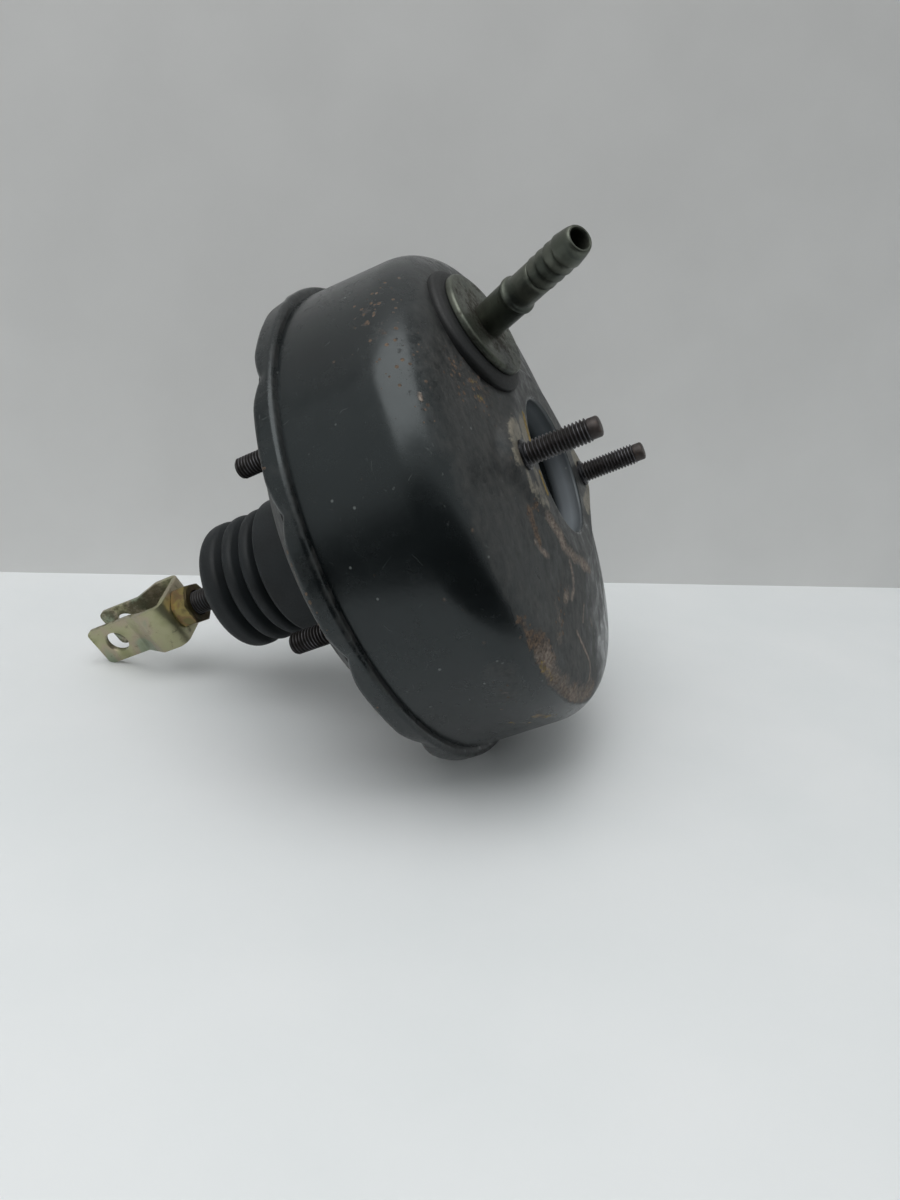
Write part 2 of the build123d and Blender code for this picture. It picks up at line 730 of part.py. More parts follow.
pin_turn = radians(clevis_turn)
pin_axis = Vector(0, cos(pin_turn), sin(pin_turn))
height_axis = Vector(0, -sin(pin_turn), cos(pin_turn))
web = web_x - pin_x
fork = Plane(origin=(pin_x, 0, 0), x_dir=(1, 0, 0), z_dir=height_axis)
side_view = Plane(origin=(pin_x, 0, 0), x_dir=(1, 0, 0), z_dir=pin_axis * -1)
near_side = [
    (-ear_end, -ear_half_width), (ear_flat, -ear_half_width),
    (joggle_end, -clevis_half_width), (web, -clevis_half_width),
]
far_side = [(along, -aside) for along, aside in reversed(near_side)]
with BuildPart() as clevis:
    with BuildSketch(fork):
        add(strip(near_side + far_side, [clevis_bend] * 6, clevis_sheet, Side.LEFT))
    extrude(amount=clevis_height / 2, both=True)
    with BuildSketch(side_view):
        Polygon(
            (-ear_end, -ear_height / 2), (-ear_end, ear_height / 2), (ear_flat, ear_height / 2),
            (joggle_end, clevis_height / 2), (web, clevis_height / 2), (web, -clevis_height / 2),
            (joggle_end, -clevis_height / 2), (ear_flat, -ear_height / 2), align=None,
        )
        fillet(vertices().sort_by(Axis.X)[:2], radius=clevis_sheet)
    extrude(amount=2 * clevis_half_width, both=True, mode=Mode.INTERSECT)
    with BuildSketch(side_view):
        Circle(pin_bore)
    extrude(amount=2 * clevis_half_width, both=True, mode=Mode.SUBTRACT)
    with BuildSketch(across.offset(rod_end_x)):
        Circle(thread_radius + slip)
    extrude(amount=web_x - rod_end_x + overrun, mode=Mode.SUBTRACT)
clevis.part.label = "clevis"

# Dust boot: a cuff on the hub, three lobes and a small collar on the rod
cuff_radius = hub_radius + play + boot_wall
boot_line = [(cuff_front_x, cuff_radius), (cuff_rear_x, cuff_radius)]
boot_bends = [lobe_bend]
for lobe in range(lobe_count):
    middle = cuff_rear_x - (lobe + 1) * lobe_pitch + valley_width / 2
    boot_line += [
        (middle + lobe_pitch / 2 + valley_width / 2, valley_radius),
        (middle + lobe_pitch / 2 - valley_width / 2, valley_radius),
        (middle + lobe_width / 2, lobe_radius), (middle - lobe_width / 2, lobe_radius),
    ]
    boot_bends += [valley_bend, valley_bend, lobe_bend, lobe_bend]
boot_line = boot_line[:-1] + [(boot_end_x, lobe_radius), (boot_end_x, boot_collar_radius)]
boot_bends[-1] = boot_end_bend
rod_grip = input_shank_radius + play
with BuildPart() as boot:
    with BuildSketch(Plane.XZ):
        add(strip(boot_line, boot_bends, boot_wall, Side.LEFT))
        Polygon(
            (boot_end_x + boot_wall, rod_grip), (boot_end_x + boot_wall, boot_collar_radius),
            (boot_end_x - boot_collar, boot_collar_radius), (boot_end_x - boot_collar, rod_grip),
            align=None,
        )
    revolve(axis=Axis.X)
boot.part.label = "dust_boot"

os.makedirs("parts", exist_ok=True)
nodes = [
    front_shell, rear_shell, front_plate, rear_plate, mc_studs, firewall_studs, port_seal_ring, nipple,
    front_seal, diaphragm_plate, diaphragm, piston, plunger, key, poppet, valve_retainer, poppet_spring,
    input_spring, air_filter, silencer, filter_keeper, reaction_disc, output_rod, output_screw,
    rod_retainer, return_spring, rear_bearing, rear_seal, input_rod, lock_nut, clevis, boot,
]
for node in nodes:
    export_step(node.part, f"parts/{node.part.label}.step")
    print(node.part.label, round(node.part.volume), len(node.part.solids()), node.part.is_valid)
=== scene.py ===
"""Brake booster: the look of every piece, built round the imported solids, in metres and in their frame."""
import math

import bmesh
import bpy
import numpy as np
from mathutils import Matrix, Vector


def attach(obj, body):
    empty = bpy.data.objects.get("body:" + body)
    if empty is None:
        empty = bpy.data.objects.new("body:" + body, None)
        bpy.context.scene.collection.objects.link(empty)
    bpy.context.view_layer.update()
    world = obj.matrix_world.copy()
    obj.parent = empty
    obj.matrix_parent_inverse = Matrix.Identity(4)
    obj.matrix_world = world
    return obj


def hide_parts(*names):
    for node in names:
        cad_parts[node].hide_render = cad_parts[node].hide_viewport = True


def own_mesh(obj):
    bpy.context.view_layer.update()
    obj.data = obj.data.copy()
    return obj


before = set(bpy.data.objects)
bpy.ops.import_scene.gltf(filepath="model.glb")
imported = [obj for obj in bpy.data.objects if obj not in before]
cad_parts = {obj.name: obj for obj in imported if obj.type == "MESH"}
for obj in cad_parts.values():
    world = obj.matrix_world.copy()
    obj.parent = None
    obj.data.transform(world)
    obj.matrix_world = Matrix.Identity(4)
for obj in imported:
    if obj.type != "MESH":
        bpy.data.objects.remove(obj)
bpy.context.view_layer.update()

# Sizes of the pieces, in mm; x runs along the push rod, from the pedal to the master cylinder
MM = 0.001
sheet = 1.6
rim_radius, rim_rear, rim_front = 92.0, 12.0, 20.0
dish_radius, hub_radius, hub_rear, hub_mouth = 70.0, 26.4, -35.0, 20.5
crimp_count, crimp_depth, crimp_half_width = 12, 2.2, 13.0
crimp_sharpness, crimp_lean = 1.7, 0.5      # how peaked a crimp is, and its share of inward movement
crimp_insets, crimp_length = (9, 2), 7      # it fades out between these insets of the rim, and in this length
lip_radius, wall_radius, wall_front_radius = 90.0, 88.2, 87.4
lip_x, wall_x, shoulder_x, shoulder_bend = 18.4, 24.9, 65.34, 18.0
pad_x, pad_radius, ear_radius, ear_reach = 77.5, 36.0, 10.5, 41.0
cone_top_radius, opening_radius, neck_x, neck_bend, seat_radius = 33.0, 25.0, 60.0, 7.5, 12.5
port_foot, port_out = np.array((72.25, -32.4, 46.3)), np.array((0.9759, -0.1251, 0.1787))
boss_radius, boss_height, seal_radius, seal_thickness = 20.5, 2.0, 18.5, 1.2
flange_radius, flange_thickness = 19.0, 2.5
tube_foot = port_foot + port_out * (boss_height + seal_thickness + flange_thickness)
tube_axis, tube_length, tube_radius, tube_bore = np.array((0.8068, -0.5902, 0.0269)), 50.0, 6.3, 3.3
stud_radius, stud_root, stud_pitch, stud_point_radius, stud_point = 4.0, 3.2, 1.25, 3.45, 3.6
front_stud_length, rear_stud_length, rear_stud_point, thread_overlap = 26.0, 24.0, 0.7, 0.3
rear_stud_y, rear_stud_z = 40.0, 33.0
rod_radius, rod_root, rod_pitch, rod_thread_front, rod_thread_rear = 5.0, 4.3, 1.25, -70.8, -99.0
ball_centre, ball_radius, shank_front, shank_radius = -16.5, 6.0, -26.0, 4.0
nut_rear, nut_thickness, nut_flats, clevis_turn = -92.5, 8.0, 16.0, 36.0
boot_front, boot_cuff_rear, boot_rear = -6.0, -37.5, -64.8
cuff_radius, lobe_radius, valley_radius, lobe_pitch, boot_wall = 27.7, 26.2, 22.4, 8.0, 1.2
lobe_count, swing_hole = 3, 6.7
collar_radius, collar_gap, collar_length, rod_hole = 8.5, 2.0, 2.7, 4.1
# Points along and round one turn of thread, and the share of its flank that its flat root and crest take
thread_rows, thread_sides, flat_share = 14.0, 36, 0.16
clevis_edge = 0.35


# How shapes are made
def rounded(corners, bends, turn=8.0):
    """A run of straight lines with its inner corners rounded, and a point every few degrees of turn."""
    corners = [np.array(corner, float) for corner in corners]
    run = [corners[0]]
    for before, corner, after, bend in zip(corners, corners[1:], corners[2:], bends):
        back, ahead = before - corner, after - corner
        back, ahead = back / np.linalg.norm(back), ahead / np.linalg.norm(ahead)
        half = math.acos(np.clip(back @ ahead, -1, 1)) / 2
        sweep = math.pi - 2 * half
        if bend == 0 or sweep < 0.01:
            run.append(corner)
            continue
        middle = (back + ahead) / np.linalg.norm(back + ahead)
        centre = corner + middle * bend / math.sin(half)
        first, last = (corner + side * bend / math.tan(half) - centre for side in (back, ahead))
        count = max(2, math.ceil(math.degrees(sweep) / turn))
        for k in range(count + 1):
            share = k / count
            arm = first * math.sin((1 - share) * sweep) + last * math.sin(share * sweep)
            run.append(centre + arm / math.sin(sweep))
    run.append(corners[-1])
    return run


def walled(corners, bends, thickness, turn=8.0):
    """A closed outline of sheet: the run itself, then the same run beside it, back to the start."""
    corners = [np.array(corner, float) for corner in corners]
    steps = [(b - a) / np.linalg.norm(b - a) for a, b in zip(corners, corners[1:])]
    sides = [np.array((-step[1], step[0])) for step in steps]
    beside, inner = [corners[0] + sides[0] * thickness], []
    for corner, bend, one, two, side, other in zip(
            corners[1:], bends, steps, steps[1:], sides, sides[1:]):
        beside.append(corner + (side + other) * thickness / (1 + side @ other))
        left = one[0] * two[1] - one[1] * two[0] > 0
        inner.append(max(0.05, bend - thickness if left else bend + thickness) if bend else 0)
    beside.append(corners[-1] + sides[-1] * thickness)
    return rounded(corners, bends, turn) + rounded(beside, inner, turn)[::-1]


def spaced(run, gap):
    """The same run with points added until no two are further apart than gap gives for that place."""
    full = [run[0]]
    for a, b in zip(run, run[1:]):
        count = max(1, math.ceil(np.linalg.norm(b - a) / gap((a + b) / 2)))
        full += [a + (b - a) * k / count for k in range(1, count + 1)]
    return full


def around(count, crowded=()):
    """Angles round a turn, closer together near each crowded (angle, half width, share) in degrees."""
    fine = np.linspace(0, 2 * math.pi, 7201)
    weight = np.ones_like(fine)
    for middle, width, share in crowded:
        away = (np.degrees(fine) - middle + 180) % 360 - 180
        weight += share * np.exp(-(away / width) ** 2)
    total = np.concatenate(([0], np.cumsum((weight[1:] + weight[:-1]) / 2)))
    return np.interp(np.arange(count) / count * total[-1], total, fine)


def ring_faces(rings, count, closed=True):
    """Quads between neighbouring rings of points, and from the last ring to the first on a closed one."""
    i, j = np.meshgrid(np.arange(rings if closed else rings - 1), np.arange(count), indexing="ij")
    i2, j2 = (i + 1) % rings, (j + 1) % count
    return np.stack([i * count + j, i * count + j2, i2 * count + j2, i2 * count + j], -1).reshape(-1, 4)


def turned(run, angles, closed=True, origin=(0, 0, 0), axis=(1, 0, 0), side=(0, 1, 0)):
    """Points and faces of (along, radius) pairs turned about an axis. A run that isn't closed ends on it."""
    run = np.array(run, float)
    axis = np.array(axis, float) / np.linalg.norm(axis)
    side = np.array(side, float) - axis * np.dot(side, axis)
    side /= np.linalg.norm(side)
    up = np.cross(axis, side)
    spokes = np.cos(angles)[:, None] * side + np.sin(angles)[:, None] * up
    points = origin + run[:, None, :1] * axis + run[:, None, 1:] * spokes
    return points.reshape(-1, 3), ring_faces(len(run), len(angles), closed)


def joined(*parts):
    """Several (points, faces) as one."""
    starts = np.cumsum([0] + [len(points) for points, _ in parts])
    return (np.concatenate([points for points, _ in parts]),
            np.concatenate([faces + start for (_, faces), start in zip(parts, starts)]))


def near(points, line, reach):
    """1 on a line through the given spots, falling smoothly to 0 at the reach from it."""
    line = np.array(line, float)
    best = np.full(len(points), 1e9)
    for a, b in zip(line, line[1:] if len(line) > 1 else line):
        along = b - a
        share = np.clip(((points - a) @ along) / max(along @ along, 1e-9), 0, 1)
        best = np.minimum(best, np.linalg.norm(points - a - share[:, None] * along, axis=1))
    share = np.clip(1 - best / reach, 0, 1)
    return share * share * (3 - 2 * share)


def step(value, low, high):
    """0 below low, 1 above high, smooth between."""
    share = np.clip((value - low) / (high - low), 0, 1)
    return share * share * (3 - 2 * share)


def linked(name, data):
    """A new object in the scene, for a mesh, a light or a camera."""
    made = bpy.data.objects.new(name, data)
    bpy.context.scene.collection.objects.link(made)
    return made


def new_mesh(name, points, faces=()):
    """A mesh from points in mm, its doubles merged and its faces outwards."""
    mesh = bpy.data.meshes.new(name)
    mesh.from_pydata((np.asarray(points, float) * MM).tolist(), [], np.asarray(faces).tolist())
    if len(faces):
        work = bmesh.new()
        work.from_mesh(mesh)
        bmesh.ops.remove_doubles(work, verts=work.verts, dist=1e-7)
        bmesh.ops.recalc_face_normals(work, faces=work.faces)
        work.to_mesh(mesh)
        work.free()
    return mesh


def node_copy(name, node, surface, rounding=0):
    """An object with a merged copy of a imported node's mesh, and its cut edges rounded where asked."""
    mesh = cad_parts[node].data.copy()
    mesh.materials.clear()
    mesh.materials.append(surface)
    work = bmesh.new()
    work.from_mesh(mesh)
    bmesh.ops.remove_doubles(work, verts=work.verts, dist=1e-6)
    if rounding:
        bmesh.ops.dissolve_limit(work, angle_limit=math.radians(1.0), verts=work.verts, edges=work.edges)
        cut = [e for e in work.edges if len(e.link_faces) == 2 and e.calc_face_angle(0) > math.radians(50)]
        bmesh.ops.bevel(work, geom=cut, offset=rounding * MM, segments=2, profile=0.5, affect="EDGES",
                        clamp_overlap=True)
    work.to_mesh(mesh)
    work.free()
    return linked(name, mesh)


def piece(name, shape, surface, body, nodes=(), slot=None, crease=38, marks=None):
    """A finished piece from (points, faces): smooth with sharp creases, its marks kept per point."""
    mesh = new_mesh(name, *shape)
    mesh.materials.append(surface)
    return placed(linked(name, mesh), body, nodes, slot, crease, marks)


def placed(made, body, nodes=(), slot=None, crease=38, marks=None):
    """Shades a mesh, writes its marks, and makes it ride on a body in the place of its nodes."""
    mesh = made.data
    mesh.shade_smooth()
    mesh.set_sharp_from_angle(angle=math.radians(crease))
    points = np.zeros(len(mesh.vertices) * 3)
    mesh.vertices.foreach_get("co", points)
    for mark, strength in (marks or {}).items():
        layer = mesh.attributes.new(mark, "FLOAT", "POINT")
        layer.data.foreach_set("value", strength(points.reshape(-1, 3) / MM).astype(np.float32))
    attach(made, body)
    if nodes:
        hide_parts(*nodes)
    return made


def wire(tree, node, sockets):
    """Sets a node's inputs, each to a value or to another node's output, in order or by name or place."""
    for key, value in sockets.items() if isinstance(sockets, dict) else enumerate(sockets):
        if isinstance(value, bpy.types.NodeSocket):
            tree.links.new(value, node.inputs[key])
        else:
            node.inputs[key].default_value = value


def put(tree, kind, sockets=None, out=0, **settings):
    """Adds one node with its settings, values and links, and gives its output out, or itself for None.

    The kind is Blender's name for it, in which ShaderNode is left out. Sockets go in order, by name, or by
    place where names repeat: a Mix node's colours are 6 and 7, and its mixed colour is output 2."""
    made = tree.nodes.new(kind if "Node" in kind else "ShaderNode" + kind)
    for name, value in settings.items():
        setattr(made, name, value)
    wire(tree, made, sockets or ())
    return made if out is None or not made.outputs else made.outputs[out]


def new_tree(name, sizes):
    """An empty Geometry Nodes tree that takes a base mesh, named sizes and a finish, and its inputs."""
    tree = bpy.data.node_groups.new(name, "GeometryNodeTree")
    tree.interface.new_socket("Geometry", in_out="INPUT", socket_type="NodeSocketGeometry")
    for size in sizes:
        tree.interface.new_socket(size, in_out="INPUT", socket_type="NodeSocketFloat")
    tree.interface.new_socket("Finish", in_out="INPUT", socket_type="NodeSocketMaterial")
    tree.interface.new_socket("Geometry", in_out="OUTPUT", socket_type="NodeSocketGeometry")
    return tree, put(tree, "NodeGroupInput", out=None).outputs


def end_tree(tree, shape, surface):
    """Ends a Geometry Nodes tree: instances made real, and the finish on everything."""
    real = put(tree, "GeometryNodeRealizeInstances", {0: shape})
    done = put(tree, "GeometryNodeSetMaterial", {"Geometry": real, "Material": surface})
    put(tree, "NodeGroupOutput", {0: done})
    return tree


def grown(name, base, tree, inputs, body, **kept):
    """Runs a Geometry Nodes tree on a base mesh and keeps what it makes as a plain mesh."""
    source = linked(name + "_base", base)
    modifier = source.modifiers.new("grow", "NODES")
    modifier.node_group = tree
    for item in tree.interface.items_tree:
        if item.in_out == "INPUT" and item.name in inputs:
            modifier[item.identifier] = inputs[item.name]
    graph = bpy.context.evaluated_depsgraph_get()
    mesh = bpy.data.meshes.new_from_object(source.evaluated_get(graph), depsgraph=graph)
    source.modifiers.remove(modifier)
    bpy.data.objects.remove(source)
    mesh.name = name
    return placed(linked(name, mesh), body, **kept)


# Finishes
def tone(code):
    """An sRGB hex colour as the linear one that shaders take."""
    parts = [int(code[k:k + 2], 16) / 255 for k in (1, 3, 5)]
    return tuple(c / 12.92 if c <= 0.04045 else ((c + 0.055) / 1.055) ** 2.4 for c in parts) + (1.0,)


def new_finish(name):
    """An empty material, its tree, its Principled shader and its Object coordinates."""
    material = bpy.data.materials.new(name)
    material.use_nodes = True
    tree = material.node_tree
    tree.nodes.clear()
    shader = put(tree, "BsdfPrincipled", out=None)
    put(tree, "OutputMaterial", {"Surface": shader.outputs[0]})
    return material, tree, shader, put(tree, "TexCoord", out="Object")


noise_low, noise_high = 0.32, 0.68          # nearly all of a noise lies between these
grit_low, grit_high = 0.3, 0.7


def finish(name, dark, light, rough, metallic=0.0, cloud=9.0, grain=0.5, relief=0.02, stains=None,
           specular=0.5):
    """A surface that drifts between two tones, with a fine grain in its gloss and relief; sizes in mm.

    stains is (colour, share, size): patches of another colour, such as dust or rust."""
    material, tree, shader, place = new_finish(name)
    drift, fine = (put(tree, "TexNoise", {"Vector": place, "Scale": 1000 / size, "Detail": detail})
                   for size, detail in ((cloud, 5.0), (grain, 3.0)))
    ramp = put(tree, "MapRange", [drift, noise_low, noise_high])
    colour = put(tree, "Mix", {0: ramp, 6: tone(dark), 7: tone(light)}, out=2, data_type="RGBA")
    gloss = put(tree, "MapRange", [fine, 0.25, 0.75, rough - 0.07, rough + 0.07])
    if stains:
        stain, share, size = stains
        patch = put(tree, "TexNoise", {
            "Vector": place, "Scale": 1000 / size, "Detail": 7.0, "Roughness": 0.7})
        cover = put(tree, "MapRange", [patch, 0.72 - share, 0.86 - share])
        colour = put(tree, "Mix", {0: cover, 6: colour, 7: tone(stain)}, out=2, data_type="RGBA")
        gloss = put(tree, "Math", [cover, 0.35, gloss], operation="MULTIPLY_ADD")
    bump = put(tree, "Bump", {"Height": fine, "Distance": relief * MM, "Strength": 1.0})
    wire(tree, shader, {"Base Color": colour, "Roughness": gloss, "Normal": bump, "Metallic": metallic,
                        "Specular IOR Level": specular})
    return material


def painted_shell():
    """Black stoving paint on pressed steel: satin with a faint orange peel, dusty, chipped and rust-stained.

    Marks on the mesh say where: dust, a painted reflection (a smooth pale band inside the opening), rust,
    ochre, scuff (pale rubs) and bare (rubbed through to the steel)."""
    material, tree, shader, place = new_finish("shell_stoving_paint")
    marks = {name: put(tree, "Attribute", out="Fac", attribute_name=name)
             for name in ("dust", "painted_reflection", "rust", "ochre", "scuff", "bare")}
    stretched = put(tree, "VectorMath", [place, (1, 1, 0.55)], operation="MULTIPLY")
    noises = {}
    # Each noise: its size in mm, its detail and its roughness
    for name, size, detail, rough in (("cloud", 34, 4, 0.5), ("grime", 7, 5, 0.68), ("flake", 2.4, 6, 0.80),
                                      ("speck", 1.0, 3, 0.6), ("peel", 1.8, 1, 0.4), ("fleck", 5.5, 3, 0.6),
                                      ("hair", 21, 2, 0.45), ("streak", 2.6, 6, 0.72)):
        noises[name] = put(tree, "TexNoise", {
            "Vector": stretched if name == "streak" else place, "Scale": 1000 / size, "Detail": detail,
            "Roughness": rough})
    both = put(tree, "Math", [noises["grime"], noises["flake"]], operation="ADD")
    noises["blotch"] = put(tree, "Math", [both, 0.5], operation="MULTIPLY")
    cells = {size: put(tree, "TexVoronoi", {"Vector": place, "Scale": 1000 / size})
             for size in (2.6, 7.0, 17.0)}
    tones = {}
    # The pale tones for the inside of the opening paint in a reflection
    for name, noise, low, high in (
            ("paint", "cloud", "#0d1011", "#171b1c"), ("dust", "streak", "#232424", "#4e4c4a"),
            ("painted_reflection", "cloud", "#6e7378", "#858b90"), ("rust", "speck", "#2c2624", "#74604f"),
            ("ochre", "speck", "#63522e", "#a48c4c"), ("scuff", "speck", "#5a4d45", "#968a7f"),
            ("bare", "blotch", "#5a554b", "#938c7e")):
        sharp = put(tree, "MapRange", [noises[noise], noise_low, noise_high])
        tones[name] = put(tree, "Mix", {0: sharp, 6: tone(low), 7: tone(high)}, out=2, data_type="RGBA")
    covers = {"painted_reflection": marks["painted_reflection"]}
    for name, noise, low, high in (("dust", "grime", 0.52, 0.98), ("scuff", "blotch", 0.76, 0.98),
                                   ("rust", "blotch", 0.76, 0.98), ("ochre", "flake", 0.80, 0.92),
                                   ("bare", "blotch", 0.78, 0.88)):
        raised = put(tree, "Math", [marks[name], noises[noise]], operation="ADD")
        shown = put(tree, "MapRange", [raised, low, high])
        gate = put(tree, "MapRange", [marks[name], 0.0, 0.12])
        covers[name] = put(tree, "Math", [shown, gate], operation="MULTIPLY")

    # Small things: pale dust dots, rust pits, rust specks where rust is marked, and fine hair scratches
    dot = put(tree, "MapRange", [cells[7.0], 0.085, 0.05])
    some = put(tree, "MapRange", [noises["fleck"], 0.5, 0.56, 0.0, 0.4])
    dots = put(tree, "Math", [dot, some], operation="MULTIPLY")
    pit = put(tree, "MapRange", [cells[17.0], 0.05, 0.02])
    pits = put(tree, "Math", [pit, noises["fleck"]], operation="MULTIPLY")
    reach = put(tree, "Math", [marks["rust"], noises["fleck"]], operation="MULTIPLY")
    beyond = put(tree, "Math", [reach, -2.6, cells[2.6]], operation="MULTIPLY_ADD")
    specks = put(tree, "MapRange", [beyond, 0.02, -0.04])
    line = put(tree, "Math", [noises["hair"], 0.5], operation="SUBTRACT")
    line = put(tree, "Math", [line], operation="ABSOLUTE")
    line = put(tree, "MapRange", [line, 0.0035, 0.0012, 0.0, 0.12])
    short = put(tree, "MapRange", [noises["fleck"], 0.58, 0.64])
    hairs = put(tree, "Math", [line, short], operation="MULTIPLY")

    colour = tones["paint"]
    dusty = put(tree, "Math", [covers["dust"], 0.85], operation="MULTIPLY")
    for cover, over in ((dusty, tones["dust"]), (covers["painted_reflection"], tones["painted_reflection"]), (dots, tone("#8d9290")),
                        (hairs, tone("#8d9290")), (pits, tones["rust"]), (specks, tones["rust"]),
                        (covers["rust"], tones["rust"]), (covers["scuff"], tones["scuff"]),
                        (covers["bare"], tones["bare"]), (covers["ochre"], tones["ochre"])):
        colour = put(tree, "Mix", {0: cover, 6: colour, 7: over}, out=2, data_type="RGBA")

    gloss = put(tree, "MapRange", [noises["grime"], grit_low, grit_high, 0.20, 0.30])
    for cover, rough in ((covers["dust"], 0.66), (covers["painted_reflection"], 0.5), (dots, 0.7), (specks, 0.85),
                         (covers["rust"], 0.85), (covers["ochre"], 0.8), (covers["scuff"], 0.75),
                         (covers["bare"], 0.5)):
        gloss = put(tree, "Mix", {0: cover, 2: gloss, 3: rough})
    depth = put(tree, "Math", [noises["peel"], 0.05], operation="MULTIPLY")
    for cover, height in ((covers["bare"], -0.10), (covers["scuff"], 0.08), (covers["rust"], 0.12),
                          (covers["dust"], 0.05)):
        rough_part = put(tree, "Math", [noises["flake"], 0.6, height * 4], operation="MULTIPLY_ADD")
        depth = put(tree, "Math", [cover, rough_part, depth], operation="MULTIPLY_ADD")
    bump = put(tree, "Bump", {"Height": depth, "Distance": 0.25 * MM, "Strength": 1.0})
    metal = put(tree, "Math", [covers["bare"], 0.2], operation="MULTIPLY")
    wire(tree, shader, {"Base Color": colour, "Roughness": gloss, "Metallic": metal, "Normal": bump,
                        "Specular Tint": tone("#f0f9fb")})
    return material


def threaded(name, root, crest, rough):
    """Rolled thread on phosphated steel: soot-dark roots and rubbed crests, told apart by the crest mark."""
    material, tree, shader, place = new_finish(name)
    high = put(tree, "Attribute", out="Fac", attribute_name="crest")
    grit, patch = (put(tree, "TexNoise", {"Vector": place, "Scale": 1000 / size, "Detail": detail})
                   for size, detail in ((0.9, 6.0), (5.0, 4.0)))
    rubbed = put(tree, "Math", [high, patch], operation="ADD")
    rubbed = put(tree, "MapRange", [rubbed, 1.38, 1.62])
    dark = put(tree, "Mix", {0: grit, 6: tone(root), 7: tone("#2b2523")}, out=2, data_type="RGBA")
    colour = put(tree, "Mix", {0: rubbed, 6: dark, 7: tone(crest)}, out=2, data_type="RGBA")
    gloss = put(tree, "MapRange", [grit, grit_low, grit_high, rough - 0.08, rough + 0.12])
    bump = put(tree, "Bump", {"Height": grit, "Distance": 0.05 * MM})
    wire(tree, shader, {"Base Color": colour, "Roughness": gloss, "Metallic": rubbed, "Normal": bump})
    return material


def zinc(name, tones, rough, band, stains):
    """Zinc plate under a chromate film: metal with soft bands of colour where the film's thickness changes.

    The mark on the mesh says where dirt and rust have gathered; on the clevis it also darkens the
    faces inside the U as painted shade."""
    material, tree, shader, place = new_finish(name)
    film, grit, patch = (
        put(tree, "TexNoise", {"Vector": place, "Scale": 1000 / size, "Detail": detail, **more})
        for size, detail, more in ((band, 3.0, {"Distortion": 0.6}), (0.8, 4.0, {}),
                                   (4.0, 8.0, {"Roughness": 0.7})))
    ramp = put(tree, "ValToRGB", {0: film}, out=None)
    ramp.color_ramp.interpolation = "EASE"
    while len(ramp.color_ramp.elements) < len(tones):
        ramp.color_ramp.elements.new(0.5)
    for k, code in enumerate(tones):
        stop = ramp.color_ramp.elements[k]
        stop.position = 0.3 + 0.4 * k / (len(tones) - 1)
        stop.color = tone(code)
    # This mark darkens where dirt has gathered; on the clevis it also paints shade inside the U
    grime_and_shade = put(tree, "Attribute", out="Fac", attribute_name="grime_and_shade")
    grimed_and_shaded = put(tree, "Math", [grime_and_shade, patch], operation="ADD")
    grimed_and_shaded = put(tree, "MapRange", [grimed_and_shaded, 0.60, 0.76, 0.0, 0.75])
    colour = put(tree, "Mix", {0: grimed_and_shaded, 6: ramp.outputs[0], 7: tone(stains)}, out=2, data_type="RGBA")
    gloss = put(tree, "MapRange", [grit, grit_low, grit_high, rough - 0.06, rough + 0.10])
    gloss = put(tree, "Math", [grimed_and_shaded, 0.3, gloss], operation="MULTIPLY_ADD")
    bump = put(tree, "Bump", {"Height": grit, "Distance": 0.03 * MM})
    wire(tree, shader, {"Base Color": colour, "Roughness": gloss, "Normal": bump, "Metallic": 0.85})
    return material


shell_paint = painted_shell()
stud_thread_steel = threaded("phosphated_stud_thread", "#0c0c0e", "#77767a", 0.42)
rod_thread_steel = threaded("oiled_rod_thread", "#0e0f12", "#55585c", 0.42)
# Stud ends: rolled blanks left bare, so browned by light rust
stud_point_steel = finish("browned_stud_point", "#2b2625", "#4b4441", 0.5, 0.4, 3.0, 0.4, 0.06,
                          ("#5d4a40", 0.16, 1.6))
# Collars pressed bright against the shell when the studs were set
stud_collar_steel = finish("pressed_stud_collar", "#0e0e10", "#3c3c3f", 0.24, 0.7, 2.2, 0.5, 0.05)
nipple_zinc = zinc("olive_chromate_nipple", ("#444843", "#555951", "#62655c", "#4b4f48"), 0.40, 14, "#332a24")
clevis_zinc = zinc("yellow_chromate_clevis",
                   ("#7b8064", "#959672", "#a5a383", "#a79d88", "#939c86", "#7d8366"), 0.34, 30, "#5f5b45")
nut_zinc = zinc("gold_chromate_nut", ("#6c6242", "#918353", "#826b4d", "#6d6745"), 0.34, 9, "#2c2a20")
rod_steel = finish("turned_rod_steel", "#3a3c3f", "#6a6d70", 0.38, 0.9, 8, 0.4, 0.02)
# Moulded rubber: matt, greyed in patches by bloom
boot_rubber = finish("moulded_boot_rubber", "#0f1315", "#1b2023", 0.56, 0.0, 22.0, 0.7, 0.05,
                     ("#2b2f31", 0.10, 7.0), specular=0.35)
seal_rubber = finish("moulded_seal_rubber", "#0c0d0e", "#151718", 0.6, 0.0, 12.0, 0.6, 0.04)


# Shells
def smooth_max(a, b, blend):
    """The larger of two heights, with a rounded valley of the given width between them."""
    share = np.maximum(blend - np.abs(a - b), 0) / blend
    return np.maximum(a, b) + share * share * blend / 4


def pad_edge(y, z):
    """Distance outside the pad's outline, which spans the disc round the opening and both ears."""
    slope = (pad_radius - ear_radius) / ear_reach
    run = math.sqrt(1 - slope * slope)
    across, along = np.abs(z), np.abs(y)
    reach = run * along - slope * across
    disc = np.hypot(across, along) - pad_radius
    flank = run * across + slope * along - pad_radius
    end = np.hypot(across, along - ear_reach) - ear_radius
    return np.where(reach < 0, disc, np.where(reach > run * ear_reach, end, flank))


